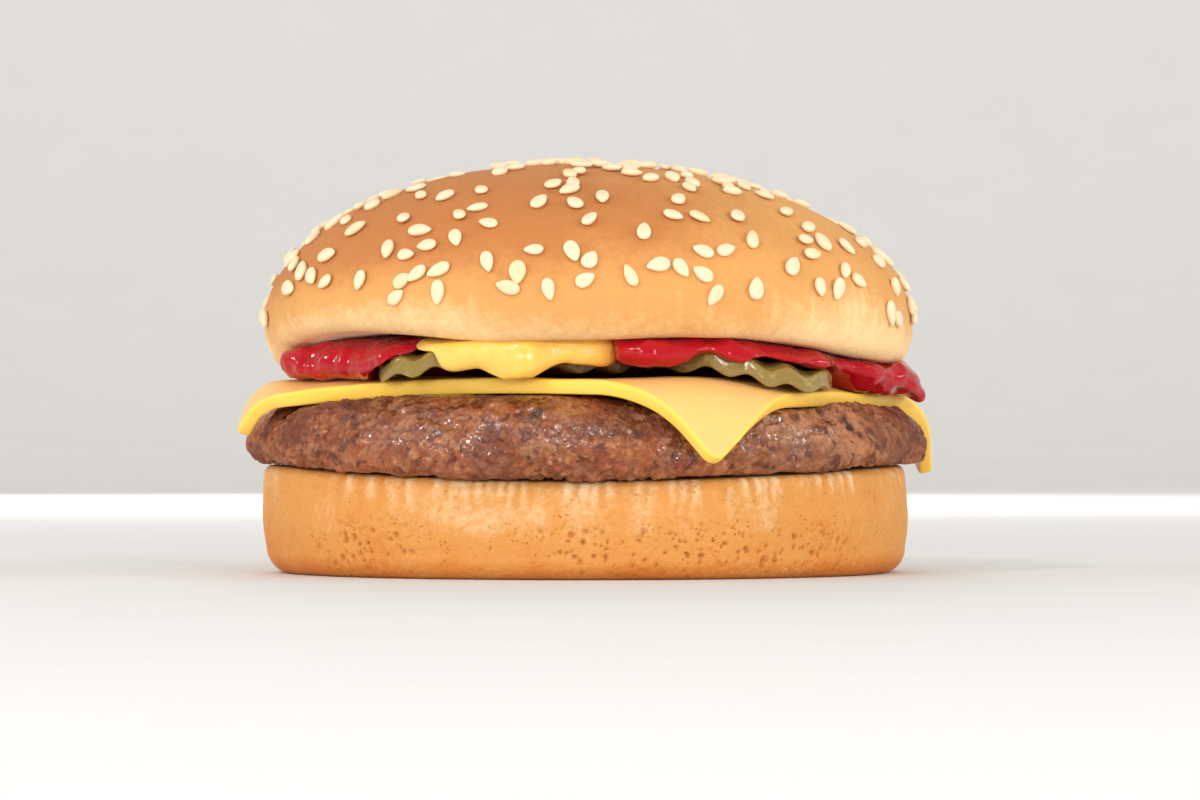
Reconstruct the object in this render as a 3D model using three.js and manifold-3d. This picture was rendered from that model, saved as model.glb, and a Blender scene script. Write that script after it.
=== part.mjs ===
// A sesame-seed cheeseburger, built in layers from the heel of the bun up to the crown.
// Units are millimetres, +Z is up, the front faces -Y, and the origin is the centre of the heel's flat base.
//
// Each layer is a closed solid that follows the one below it. The patty beds into the heel. The cheese slice
// lies on the patty and droops over its edge at the corners. Crinkle-cut pickles lie on the cheese. Ketchup
// and mustard fill what is left under the crown, which is tipped back so that its front rim stands open.
import * as THREE from "three";
import { mergeVertices } from "three/addons/utils/BufferGeometryUtils.js";
import Module from "manifold-3d";

const wasm = await Module();
wasm.setup();

const { abs, atan2, ceil, cos, floor, hypot, max, min, round, sign, sin, sqrt, tan, PI } = Math;
const degrees = (value) => (value * PI) / 180;

// ---- Driving dimensions ------------------------------------------------------------------------------------

const GAP = 0.3; // clearance between touching layers

const HEEL = {
  radius: 50.0, // widest, half way up the side
  bulge: 0.5, // how far the middle of the side stands out past its rounded edges
  baseRadius: 46.0, // of the flat base, inside the rounded foot
  footHeight: 4.0,
  shoulderRadius: 48.2, // of the cut face, inside its rounded edge
  shoulderDrop: 1.6,
  middleRing: 33.0, // radius of a ring of points inside the cut face, which lets it sag
  height: 16.6,
  frontSag: 2.4, // how far the cut face gives way under the patty at the front rim
  backSag: 1.4,
};

const PATTY = {
  radius: 52.0,
  centre: new THREE.Vector2(-0.2, -0.6),
  shoulder: 0.78, // share of the radius where the flat top ends
  footRadius: 0.95, // share of the radius where the flat underside ends
  rimLevel: -0.5, // level of the widest ring, from -1 at the underside to 1 at the top
  lump: 0.7, // relief of the coarse mince
  lumpSize: 6.5,
  lumpsFrom: 0.6, // share of the radius where the relief starts ...
  lumpsFull: 0.9, // ... and where it is full
  clearance: 1.015, // how much wider a bend of the cheese has to be
};

const CHEESE = {
  side: 83,
  thickness: 2.4,
  corner: 2.0, // radius of its rounded corners
  centre: new THREE.Vector2(2.4, -0.9),
  turn: degrees(-28.2), // direction of the right-hand edge
  level: 27.3, // underside over the middle of the patty
  slope: 0.03, // it falls towards the back ...
  curve: 0.0008, // ... and away from the middle, as the patty does
};
// Each bend starts at a line across its direction, turns down with a radius, and ends at its full angle.
const CHEESE_BENDS = {
  rightCorner: { turn: degrees(8), start: 45.4, radius: 7.5, angle: degrees(68) },
  rightEdge: { turn: degrees(-28), start: 32.0, radius: 26.0, angle: degrees(16) },
  frontCorner: { turn: degrees(-71), start: 44.8, radius: 12.0, angle: degrees(55) },
  leftEdge: { turn: degrees(-135), start: 34.5, radius: 38.0, angle: degrees(18) },
  leftCorner: { turn: degrees(-175), start: 47.7, radius: 5.0, angle: degrees(64) },
  backCorner: { turn: degrees(110), start: 45.6, radius: 8.0, angle: degrees(68) },
};

const PICKLE = {
  thickness: 2.0,
  wave: 0.5, // half the height of the crinkle
  pitch: 6.0, // from crest to crest
  clear: 0.5, // over the cheese that a slice lies on
};
// Each slice follows the cheese, and arches up along its own X between its two ends.
const PICKLES = {
  pickle_left: { x: -20.2, y: -31.2, radius: 10.8, arch: 1.6, turn: degrees(-12) },
  pickle_middle: { x: -0.6, y: -29.4, radius: 8.4, arch: 0.2, turn: degrees(20) },
  pickle_right: { x: 22.8, y: -27.6, radius: 14.2, arch: 0.5, turn: degrees(4) },
};

const CROWN = {
  radius: 50.0,
  rimRadius: 46.0,
  skirt: 7.0, // height of the widest ring over the rim
  dome: 24.6, // height of the apex over the widest ring
  level: 31.0, // height of the rim over the base, at its sides
  tilt: degrees(4.9), // front rim up
  shift: new THREE.Vector2(0.3, -1.2),
  lean: 1.7, // how far the apex sits to the left of the rim's centre
  dent: 4.4, // where the cut face beds onto the filling
  dentRadius: 45,
  dentCentre: new THREE.Vector2(0, -8),
};
// Where thick sauce lifts the rim.
const CROWN_LIFTS = [
  { turn: degrees(-147), width: degrees(42), lift: 2.9 },
  { turn: degrees(-62), width: degrees(30), lift: 0.7 },
];

const SAUCE = {
  thickest: 6.0, // over the cheese
  rim: 0.9, // share of the reach where the rounded edge starts
  hangFrom: 0.6, // share of the reach where the lobes start to hang ...
  hangFull: 0.85, // ... and where they hang in full
};
const TALLER = 60; // a height that clears every filling
// Sauces: their thickness inside, and the direction from the centre of each lobe, its half-width, how far out
// it reaches and how far down it hangs.
const KETCHUP = {
  centre: new THREE.Vector2(0.3, -1.2),
  film: 2.2,
  reach: 43,
  lobes: [
    { turn: degrees(-172), width: degrees(22), out: 2.8, fall: 3 },
    { turn: degrees(-154), width: degrees(31), out: 4.0, fall: 6.5 },
    { turn: degrees(-126), width: degrees(18), out: 3.4, fall: 0.4 },
    { turn: degrees(-77), width: degrees(15), out: 3.4, fall: 2.4 },
    { turn: degrees(-61), width: degrees(11), out: 4.6, fall: 1.0 },
    { turn: degrees(-48), width: degrees(12), out: 4.6, fall: 1.8 },
    { turn: degrees(-36), width: degrees(10), out: 2.6, fall: 1.4 },
    { turn: degrees(-22), width: degrees(13), out: 4.4, fall: 3.0 },
    { turn: degrees(-7), width: degrees(14), out: 8.2, fall: 5.0 },
    { turn: degrees(38), width: degrees(18), out: 3.0, fall: 1.0 },
    { turn: degrees(82), width: degrees(22), out: 2.0, fall: 1.0 },
    { turn: degrees(120), width: degrees(18), out: 2.6, fall: 1.6 },
    { turn: degrees(152), width: degrees(20), out: 2.4, fall: 1.0 },
  ],
};
const MUSTARD = {
  centre: new THREE.Vector2(-10.4, -32),
  film: 3.7,
  reach: 12.6,
  lobes: [
    { turn: degrees(-152), width: degrees(42), out: 3.6, fall: 0 },
    { turn: degrees(-118), width: degrees(24), out: 1.6, fall: 0.6 },
    { turn: degrees(-86), width: degrees(30), out: 2.2, fall: 2.4 },
    { turn: degrees(-36), width: degrees(38), out: 5.2, fall: 0.8 },
  ],
};

const SEED = {
  length: 3.6,
  width: 2.2,
  height: 1.4,
  sink: 0.2, // how far its middle sits over the skin
  sides: 4,
  taper: 0.2, // how much narrower one end is
  smallest: 0.88, // share of the full size
  largest: 1.12,
};
const SEED_STREAM = 149; // starts the stream of random numbers
const SEED_COUNT = 290;
const SEED_SPACING = 2.5; // least distance between the middles of two seeds
const SEED_LOWEST = degrees(-14); // angle up of the lowest seeds; the apex is at 90 degrees
const SEED_THINNING = degrees(12); // below this angle the seeds thin out
const SEED_FEWEST = 0.15; // share of the full spread that is left at the lowest
const SEED_CHANCE = 2; // how likely a place is kept, for a share of the dome's area of 1

// Points round each layer, and cells along an edge of the cheese.
const AROUND = { heel: 36, patty: 48, ketchup: 54, mustard: 26, crown: 40, pickle: 24 };
const CHEESE_CELLS = 16;

// ---- Numbers and curves ------------------------------------------------------------------------------------

// A repeatable stream of numbers from 0 to 1 (Park and Miller's generator).
function randomStream(seed) {
  let state = seed;
  return () => {
    state = (state * 48271) % 2147483647;
    return state / 2147483647;
  };
}

const clamp = (value) => min(1, max(0, value));
const ease = (share) => clamp(share) ** 2 * (3 - 2 * clamp(share));
const easeBetween = (from, full, value) => ease((value - from) / (full - from));
const fract = (value) => value - floor(value);
const latticeValue = (i, j, k) => 2 * fract(sin(i * 127.1 + j * 311.7 + k * 74.7) * 43758.5453) - 1;

// Smooth lumps from -1 to 1: random values on a unit lattice, blended between its corners.
function lumps(x, y, z) {
  const [i, j, k] = [floor(x), floor(y), floor(z)];
  const [u, v, w] = [ease(x - i), ease(y - j), ease(z - k)];
  let sum = 0;
  for (let corner = 0; corner < 8; corner++) {
    const [a, b, c] = [corner & 1, (corner >> 1) & 1, corner >> 2];
    const weight = (a ? u : 1 - u) * (b ? v : 1 - v) * (c ? w : 1 - w);
    sum += weight * latticeValue(i + a, j + b, k + c);
  }
  return sum;
}

// The sum of a list's lobes in one direction: each is full at its own direction and gone at its half-width.
function lobeSum(lobes, turn, key) {
  return lobes.reduce((sum, lobe) => {
    const apart = abs(atan2(sin(turn - lobe.turn), cos(turn - lobe.turn))) / lobe.width;
    return apart < 1 ? sum + lobe[key] * (1 - apart * apart) ** 2 : sum;
  }, 0);
}

// Points of a quarter ellipse, both ends included, with place(cosine, sine) giving each point.
function quarter(steps, place) {
  return Array.from({ length: steps + 1 }, (_, i) => {
    const angle = (i / steps) * (PI / 2);
    return place(cos(angle), sin(angle));
  });
}

// ---- Geometry helpers --------------------------------------------------------------------------------------

// Turns a profile of [radius, height] points, listed from the bottom up, about the Z axis.
function lathe(profile, segments) {
  const points = profile.map(([radius, height]) => new THREE.Vector2(radius, height));
  return new THREE.LatheGeometry(points, segments).rotateX(PI / 2);
}

// Moves every vertex of a geometry with move(vector), which changes the vector in place.
function sculpt(geometry, move) {
  const position = geometry.getAttribute("position");
  const vertex = new THREE.Vector3();
  for (let i = 0; i < position.count; i++) {
    move(vertex.fromBufferAttribute(position, i));
    position.setXYZ(i, vertex.x, vertex.y, vertex.z);
  }
  return geometry;
}

// A filling that spreads from a centre to an uneven outline, with a rounded rim. Its levels run from 0 at the
// underside to 1 at the top, and heightAt(x, y, share, turn, level) gives the height of each.
function spreadGeometry({ centre, rim, segments, reachAt, heightAt }) {
  const inside = [0, 0.35, 0.65].map((share) => share * rim);
  const edge = [-1, -0.7, 0, 0.7, 1].map((sine) => [rim + (1 - rim) * sqrt(1 - sine * sine), (1 + sine) / 2]);
  const profile = [
    ...inside.map((share) => [share, 0]),
    ...edge,
    ...inside.reverse().map((share) => [share, 1]),
  ];
  return sculpt(lathe(profile, segments), (v) => {
    const turn = atan2(v.y, v.x);
    const share = hypot(v.x, v.y);
    const reach = reachAt(turn);
    const [x, y] = [centre.x + v.x * reach, centre.y + v.y * reach];
    v.set(x, y, heightAt(x, y, share, turn, v.z));
  });
}

function solidOf(geometry) {
  const bare = geometry.clone();
  bare.deleteAttribute("normal");
  bare.deleteAttribute("uv");
  const merged = mergeVertices(bare, 1e-4);
  const vertProperties = new Float32Array(merged.attributes.position.array);
  const triVerts = new Uint32Array(merged.index.array);
  return new wasm.Manifold(new wasm.Mesh({ numProp: 3, vertProperties, triVerts }));
}

function geometryOf(solid) {
  const { vertProperties, triVerts } = solid.getMesh();
  return new THREE.BufferGeometry()
    .setAttribute("position", new THREE.BufferAttribute(new Float32Array(vertProperties), 3))
    .setIndex(new THREE.BufferAttribute(new Uint32Array(triVerts), 1));
}

// A cut can leave loose scraps behind: only the largest body is the part.
function largestBody(solid) {
  return solid.decompose().reduce((a, b) => (b.volume() > a.volume() ? b : a));
}

function material(name, color, roughness) {
  const made = new THREE.MeshStandardMaterial({ color, roughness, metalness: 0 });
  made.name = name;
  return made;
}

function part(name, geometry, finish) {
  const mesh = new THREE.Mesh(geometry, finish);
  mesh.name = name;
  return mesh;
}

// ---- Bottom bun (the heel) ---------------------------------------------------------------------------------

// The heel's outline is a little uneven towards its cut face: the share of the radius that is added.
const heelUneven = (turn) => 0.005 * sin(3 * turn + 3) - 0.009 * cos(turn);

// The height of the cut face, which sags under the patty towards the front and the back.
function heelTop(x, y) {
  const sag = y < 0 ? HEEL.frontSag : HEEL.backSag;
  return HEEL.height - sag * (y / HEEL.radius) ** 2;
}

function heelGeometry() {
  const { baseRadius, radius, bulge, footHeight, shoulderRadius, shoulderDrop, middleRing, height } = HEEL;
  const sideRadius = radius - bulge;
  const shoulder = height - shoulderDrop;
  const foot = quarter(3, (c, s) => [baseRadius + (sideRadius - baseRadius) * s, footHeight * (1 - c)]);
  const middle = [radius, (footHeight + shoulder) / 2];
  const edge = quarter(3, (c, s) => [
    shoulderRadius + (sideRadius - shoulderRadius) * c,
    shoulder + shoulderDrop * s,
  ]);
  const profile = [[0, 0], ...foot, middle, ...edge, [middleRing, height], [0, height]];
  return sculpt(lathe(profile, AROUND.heel), (v) => {
    const share = v.z / height;
    const wider = 1 + share * heelUneven(atan2(v.y, v.x));
    v.set(v.x * wider, v.y * wider, share * heelTop(v.x, v.y));
  });
}

// ---- Cheese ------------------------------------------------------------------------------------------------

// The height of the underside before it bends down at the edges.
const cheeseBed = (x, y) => CHEESE.level - CHEESE.slope * y - CHEESE.curve * y * y;

// How far a bend has dropped at a distance along its direction, seen from above.
function bendDrop({ start, radius, angle }, distance) {
  const past = max(0, distance - start);
  const arc = min(past, radius * sin(angle));
  return radius - sqrt(radius * radius - arc * arc) + (past - arc) * tan(angle);
}

function cheeseUnder(x, y) {
  return Object.values(CHEESE_BENDS).reduce((z, bend) => {
    const distance = x * cos(bend.turn) + y * sin(bend.turn);
    return z - bendDrop(bend, distance);
  }, cheeseBed(x, y));
}

const cheeseTop = (x, y) => cheeseUnder(x, y) + CHEESE.thickness;

// Carries a point of the flat slice to where the bent slice has it, lifted off its underside.
function cheesePoint(flat, lift) {
  const moved = new THREE.Vector3(flat.x, flat.y, 0);
  const normal = new THREE.Vector3(0, 0, 1);
  for (const { turn, start, radius, angle } of Object.values(CHEESE_BENDS)) {
    const past = flat.x * cos(turn) + flat.y * sin(turn) - start;
    if (past <= 0) continue;
    const turned = min(past / radius, angle);
    const straight = past - radius * turned;
    const back = past - radius * sin(turned) - straight * cos(turned);
    moved.x -= back * cos(turn);
    moved.y -= back * sin(turn);
    moved.z -= radius * (1 - cos(turned)) + straight * sin(turned);
    normal.x += sin(turned) * cos(turn);
    normal.y += sin(turned) * sin(turn);
    normal.z += cos(turned) - 1;
  }
  moved.z += cheeseBed(moved.x, moved.y);
  return moved.addScaledVector(normal.normalize(), lift);
}

// Moves a point of the square slice in where a corner is rounded.
function roundCorner(point) {
  const straight = CHEESE.side / 2 - CHEESE.corner;
  const [past, along] = [abs(point.x) - straight, abs(point.y) - straight];
  if (past <= 0 || along <= 0) return;
  const shorter = max(past, along) / hypot(past, along);
  point.x = sign(point.x) * (straight + past * shorter);
  point.y = sign(point.y) * (straight + along * shorter);
}

function cheeseGeometry() {
  const { side, centre, turn, thickness } = CHEESE;
  const slice = new THREE.BoxGeometry(side, side, 1, CHEESE_CELLS, CHEESE_CELLS, 1);
  sculpt(slice, roundCorner).rotateZ(turn).translate(centre.x, centre.y, 0);
  return sculpt(slice, (v) => v.copy(cheesePoint(v, v.z > 0 ? thickness : 0)));
}

// ---- Patty -------------------------------------------------------------------------------------------------

// The mince's outline is uneven: the share of the nominal radius in each direction.
const pattyReach = (turn) => 1 + 0.01 * cos(2 * turn) + 0.008 * sin(3 * turn + 1.2) + 0.006 * sin(7 * turn);

// The height over a place at a level from -1 at the underside to 1 at the top.
function pattyHeight(x, y, level) {
  const bed = heelTop(x, y) + GAP;
  return bed + ((cheeseBed(x, y) - GAP - bed) * (level + 1)) / 2;
}

// Keeps a height clear of the heel and of the cheese where it bends down.
function pattyBetween(x, y, z) {
  const { clearance } = PATTY;
  const under = min(cheeseUnder(x, y), cheeseUnder(x * clearance, y * clearance));
  return max(heelTop(x, y) + GAP, min(z, under - 2 * GAP));
}

function pattyGeometry() {
  const { centre, radius, shoulder, footRadius, rimLevel, lump, lumpSize, lumpsFrom, lumpsFull } = PATTY;
  const underside = [0, 0.4, 0.75].map((share) => [share, -1]);
  const foot = quarter(2, (c, s) => [footRadius + (1 - footRadius) * s, rimLevel - (1 + rimLevel) * c]);
  const brow = quarter(5, (c, s) => [shoulder + (1 - shoulder) * c, rimLevel + (1 - rimLevel) * s]);
  const top = [0.5, 0.25, 0].map((share) => [share, 1]);
  const profile = [...underside, ...foot, ...brow.slice(1), ...top];
  return sculpt(lathe(profile, AROUND.patty), (v) => {
    const turn = atan2(v.y, v.x);
    const share = hypot(v.x, v.y);
    const spread = radius * pattyReach(turn);
    const [x, y] = [centre.x + v.x * spread, centre.y + v.y * spread];
    const z = pattyHeight(x, y, v.z);
    const height = lump * easeBetween(lumpsFrom, lumpsFull, share);
    const relief = height * lumps(x / lumpSize, y / lumpSize, z / lumpSize);
    v.set(x + relief * cos(turn), y + relief * sin(turn), z + relief / 2);
    v.z = pattyBetween(v.x, v.y, v.z);
  });
}

// ---- Crown: shape of its skin and its cut face -------------------------------------------------------------

// The crown's outline is a little uneven: the share of the radius in each direction.
const crownUneven = (turn) => 1 + 0.005 * sin(2 * turn + 1) + 0.004 * sin(3 * turn + 2.6);

// How far the rim is lifted at a height over it; the lift fades out up the skirt.
const rimLift = (turn, height) => lobeSum(CROWN_LIFTS, turn, "lift") * clamp(1 - height / CROWN.skirt);

// The skin in the crown's own frame. The angle up is 90 degrees at the apex and 0 at the widest ring. Below
// zero it runs round the skirt, down to -90 degrees at the rim.
function crownSkin(turn, up) {
  const { radius, rimRadius, skirt, dome, lean } = CROWN;
  const out = up > 0 ? radius * cos(up) : rimRadius + (radius - rimRadius) * cos(up);
  const height = up > 0 ? skirt + dome * sin(up) : skirt * (1 + sin(up));
  const reach = out * crownUneven(turn);
  const shift = lean * (height / (skirt + dome)) ** 2;
  return new THREE.Vector3(reach * cos(turn) - shift, reach * sin(turn), height + rimLift(turn, height));
}

// The cut face in the crown's own frame, and outside the rim the underside of its skirt.
function crownUnder(x, y) {
  const { radius, rimRadius, skirt, dent, dentRadius, dentCentre } = CROWN;
  const turn = atan2(y, x);
  const reach = hypot(x, y) / crownUneven(turn);
  if (reach < rimRadius) {
    const away = hypot(x - dentCentre.x, y - dentCentre.y) / dentRadius;
    const inside = 1 - (reach / rimRadius) ** 8;
    return dent * max(0, 1 - away * away) * inside + rimLift(turn, 0) * (reach / rimRadius) ** 3;
  }
  const out = min(1, (reach - rimRadius) / (radius - rimRadius));
  const height = skirt * (1 - sqrt(1 - out * out));
  return height + rimLift(turn, height);
}

// The same surface over a point of the plan, with the crown in its place.
function crownFloor(x, y) {
  const { shift, tilt, level } = CROWN;
  const across = x - shift.x;
  const along = (y - shift.y) / cos(tilt);
  const height = crownUnder(across, along - crownUnder(across, along) * sin(tilt));
  return level - (along - height * tan(tilt)) * sin(tilt) + height * cos(tilt);
}

function crownGeometry() {
  const skirtRows = 4;
  const domeRows = 9;
  const ups = Array.from({ length: skirtRows }, (_, i) => degrees(-90 + (90 * i) / skirtRows));
  for (let i = 0; i <= domeRows; i++) ups.push(degrees((90 * i) / domeRows));
  // Rows of the skin are marked by heights of 1 and more, until they are put in place below.
  const face = [0, 0.4, 0.7, 0.9].map((share) => [share, 0]);
  const skin = ups.map((up, row) => [row === ups.length - 1 ? 0 : 1, row + 1]);
  return sculpt(lathe([...face, ...skin], AROUND.crown), (v) => {
    const turn = atan2(v.y, v.x);
    const row = round(v.z);
    if (row > 0) {
      v.copy(crownSkin(turn, ups[row - 1]));
      return;
    }
    const rim = CROWN.rimRadius * crownUneven(turn);
    v.set(v.x * rim, v.y * rim, crownUnder(v.x * rim, v.y * rim));
  });
}

// ---- Pickles -----------------------------------------------------------------------------------------------

// A round slice of a sheet that is corrugated along X, laid over the cheese in the frame of its own mesh.
function sliceGeometry(slice, level, thickness, wave) {
  const { x, y, radius, arch, turn } = slice;
  const half = thickness / 2;
  const reach = radius + 1;
  const steps = (wave > 0 ? 4 : 1) * ceil((2 * reach) / PICKLE.pitch);
  const middle = (along) => wave * cos((2 * PI * along) / PICKLE.pitch);
  const stations = Array.from({ length: steps + 1 }, (_, i) => -reach + (2 * reach * i) / steps);
  const underside = stations.map((along) => new THREE.Vector2(along, middle(along) - half));
  const topside = stations.reverse().map((along) => new THREE.Vector2(along, middle(along) + half));
  const outline = new THREE.Shape([...underside, ...topside]);
  const sheet = new THREE.ExtrudeGeometry(outline, { depth: 2 * reach, steps: 3, bevelEnabled: false });
  sheet.translate(0, 0, -reach).rotateX(PI / 2);
  const disc = new THREE.CylinderGeometry(radius, radius, TALLER, AROUND.pickle).rotateX(PI / 2);
  const lift = PICKLE.clear + PICKLE.wave + PICKLE.thickness / 2 - level;
  return sculpt(geometryOf(solidOf(sheet).intersect(solidOf(disc))), (v) => {
    const across = x + v.x * cos(turn) - v.y * sin(turn);
    const along = y + v.x * sin(turn) + v.y * cos(turn);
    v.z += cheeseTop(across, along) + lift + arch * (1 - (v.x / radius) ** 2);
  });
}

// A slice of pickle in its place, and the space that it takes up, a gap wider all round and without its crinkle.
function pickle(name, slice) {
  const { thickness, wave } = PICKLE;
  const level = cheeseTop(slice.x, slice.y);
  const mesh = part(name, sliceGeometry(slice, level, thickness, wave), finishes.pickle);
  mesh.position.set(slice.x, slice.y, level);
  mesh.rotation.z = slice.turn;
  mesh.updateMatrixWorld(true);
  const wider = { ...slice, radius: slice.radius + GAP };
  const room = sliceGeometry(wider, level, thickness + 2 * wave + 2 * GAP, 0);
  return { mesh, room: solidOf(room.applyMatrix4(mesh.matrixWorld)) };
}

// ---- Sauces ------------------------------------------------------------------------------------------------

const sauceTop = (x, y) => min(crownFloor(x, y) - GAP, cheeseTop(x, y) + GAP + SAUCE.thickest);

// A layer of sauce under the crown: a film inside, and lobes that hang down at its outline.
function sauceGeometry({ centre, film, reach, lobes }, segments) {
  const { rim, hangFrom, hangFull } = SAUCE;
  return spreadGeometry({
    centre,
    rim,
    segments,
    reachAt: (turn) => reach + lobeSum(lobes, turn, "out"),
    heightAt: (x, y, share, turn, level) => {
      const top = sauceTop(x, y);
      const hang = film + lobeSum(lobes, turn, "fall") * easeBetween(hangFrom, hangFull, share);
      const bottom = max(top - hang, cheeseTop(x, y) + GAP);
      return bottom + (top - bottom) * level;
    },
  });
}

// The upright column that a sauce's outline sweeps, a gap wider all round.
function sauceColumn({ centre, reach, lobes }, segments) {
  return spreadGeometry({
    centre,
    rim: 1,
    segments,
    reachAt: (turn) => reach + lobeSum(lobes, turn, "out") + GAP,
    heightAt: (x, y, share, turn, level) => TALLER * level,
  });
}

// ---- Sesame seeds ------------------------------------------------------------------------------------------

// Where each seed lies: spread evenly over the dome by area, thinning out down its sides.
function seedPlaces() {
  const random = randomStream(SEED_STREAM);
  const places = [];
  while (places.length < SEED_COUNT) {
    const turn = 2 * PI * random();
    const up = SEED_LOWEST + (PI / 2 - SEED_LOWEST) * random();
    const area = cos(up) * hypot(sin(up), (cos(up) * (up > 0 ? CROWN.dome : CROWN.skirt)) / CROWN.radius);
    const spread = clamp(SEED_FEWEST + (up - SEED_LOWEST) / (SEED_THINNING - SEED_LOWEST));
    const kept = random() < SEED_CHANCE * area * spread;
    const spin = 2 * PI * random();
    const size = SEED.smallest + (SEED.largest - SEED.smallest) * random();
    const at = crownSkin(turn, up);
    if (kept && places.every((other) => other.at.distanceTo(at) > SEED_SPACING)) {
      places.push({ turn, up, spin, size, at });
    }
  }
  return places;
}

// A flat teardrop, narrower at one end, with its middle at the origin.
function seedGeometry() {
  const seed = lathe([[0, -1], [1, 0], [0, 1]], SEED.sides);
  return sculpt(seed, (v) => {
    const narrower = 1 - SEED.taper * v.x;
    v.set((v.x * SEED.length) / 2, (v.y * narrower * SEED.width) / 2, (v.z * SEED.height) / 2);
  });
}

function seedSolids() {
  const seed = seedGeometry();
  const step = 0.01; // of the angles, to find the directions along the skin
  return seedPlaces().map(({ turn, up, spin, size, at }) => {
    const along = crownSkin(turn + step, up).sub(at).normalize();
    const rising = crownSkin(turn, up + step).sub(at);
    const normal = along.clone().cross(rising).normalize();
    const frame = new THREE.Matrix4().makeBasis(along, normal.clone().cross(along), normal);
    frame.multiply(new THREE.Matrix4().makeRotationZ(spin));
    frame.scale(new THREE.Vector3(size, size, size));
    frame.setPosition(at.clone().addScaledVector(normal, SEED.sink));
    return solidOf(seed.clone().applyMatrix4(frame));
  });
}

// ---- Assembly ----------------------------------------------------------------------------------------------

const finishes = {
  heel: material("heel_crust", 0xe0963f, 0.7),
  patty: material("grilled_beef", 0x7d4a33, 0.55),
  cheese: material("cheese", 0xf5b93c, 0.4),
  pickle: material("pickle", 0x7d7a33, 0.35),
  ketchup: material("ketchup", 0xb3131e, 0.2),
  mustard: material("mustard", 0xf3c52b, 0.3),
  crown: material("crown_crust", 0xd98f4a, 0.6),
};

const burger = new THREE.Group();
burger.name = "cheeseburger";
burger.add(part("bottom_bun", heelGeometry(), finishes.heel));
burger.add(part("patty", pattyGeometry(), finishes.patty));
burger.add(part("cheese", cheeseGeometry(), finishes.cheese));

const pickles = Object.entries(PICKLES).map(([name, slice]) => pickle(name, slice));
pickles.forEach(({ mesh }) => burger.add(mesh));
const slices = wasm.Manifold.union(pickles.map(({ room }) => room));

const mustard = solidOf(sauceGeometry(MUSTARD, AROUND.mustard)).subtract(slices);
const mustardColumn = solidOf(sauceColumn(MUSTARD, AROUND.mustard));
const ketchup = solidOf(sauceGeometry(KETCHUP, AROUND.ketchup)).subtract(slices).subtract(mustardColumn);
burger.add(part("mustard", geometryOf(largestBody(mustard)), finishes.mustard));
burger.add(part("ketchup", geometryOf(largestBody(ketchup)), finishes.ketchup));

const crownSolid = wasm.Manifold.union([solidOf(crownGeometry()), ...seedSolids()]);
const crown = part("top_bun", geometryOf(crownSolid), finishes.crown);
crown.position.set(CROWN.shift.x, CROWN.shift.y, CROWN.level);
crown.rotation.x = -CROWN.tilt;
burger.add(crown);

export default burger;
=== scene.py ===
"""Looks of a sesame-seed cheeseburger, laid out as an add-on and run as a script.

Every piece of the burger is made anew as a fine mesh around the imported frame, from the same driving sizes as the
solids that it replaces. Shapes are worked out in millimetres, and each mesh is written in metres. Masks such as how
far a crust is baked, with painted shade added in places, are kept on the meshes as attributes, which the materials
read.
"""
import math
from functools import cached_property
from types import SimpleNamespace

import bpy
import numpy as np
from bpy.props import FloatProperty, FloatVectorProperty, IntProperty, PointerProperty
from mathutils import Matrix, Vector


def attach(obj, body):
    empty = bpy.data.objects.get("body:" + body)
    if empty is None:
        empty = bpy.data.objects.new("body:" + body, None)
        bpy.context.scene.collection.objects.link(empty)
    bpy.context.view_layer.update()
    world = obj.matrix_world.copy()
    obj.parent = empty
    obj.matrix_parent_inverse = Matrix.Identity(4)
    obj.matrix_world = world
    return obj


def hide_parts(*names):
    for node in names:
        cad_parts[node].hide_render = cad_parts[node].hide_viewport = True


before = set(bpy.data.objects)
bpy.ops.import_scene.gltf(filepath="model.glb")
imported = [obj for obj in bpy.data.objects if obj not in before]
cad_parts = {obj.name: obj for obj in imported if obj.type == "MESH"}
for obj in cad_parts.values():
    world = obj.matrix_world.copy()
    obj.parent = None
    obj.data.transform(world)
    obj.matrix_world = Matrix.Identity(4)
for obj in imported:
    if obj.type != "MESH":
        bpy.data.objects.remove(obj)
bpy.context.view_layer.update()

bl_info = {
    "name": "Cheeseburger Looks",
    "version": (1, 0, 0),
    "blender": (4, 5, 0),
    "location": "3D View > Sidebar > Burger",
    "description": "Bun, patty, cheese, pickles and sauces around a packed frame",
    "category": "Object",
}

MM = 0.001
BODY = "root"


def degrees(value):
    return math.radians(value)


# ---- Driving sizes, in millimetres, as in the solids ----

GAP = 0.3  # clearance between touching layers

HEEL = SimpleNamespace(
    radius=50.0,  # widest, half way up the side
    bulge=0.5,
    base_radius=46.0,  # of the flat base, inside the rounded foot
    foot_height=4.0,
    shoulder_radius=48.2,  # of the cut face, inside its rounded edge
    shoulder_drop=1.6,
    height=16.6,
    front_sag=2.4,  # how far the cut face gives way under the patty
    back_sag=1.4,
)

PATTY = SimpleNamespace(
    radius=52.0,
    centre=(-0.2, -0.6),
    shoulder=0.78,  # share of the radius where the flat top ends
    foot_radius=0.95,  # share of the radius where the flat underside ends
    rim_level=-0.5,  # level of the widest ring, from -1 at the underside to 1 at the top
    lump=0.7,
    lump_size=6.5,
    lumps_from=0.6,
    lumps_full=0.9,
    clearance=1.015,
    clear=0.15,  # of its relief from the heel and the cheese
)

CHEESE = SimpleNamespace(
    side=83.0,
    thickness=2.4,
    corner=2.0,
    centre=(2.4, -0.9),
    turn=degrees(-28.2),
    level=27.3,
    slope=0.03,
    curve=0.0008,
)


def bend(turn, start, radius, angle):
    """A line across a direction, past which the slice turns down with a radius, up to its full angle."""
    return SimpleNamespace(turn=degrees(turn), start=start, radius=radius, angle=degrees(angle))


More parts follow.
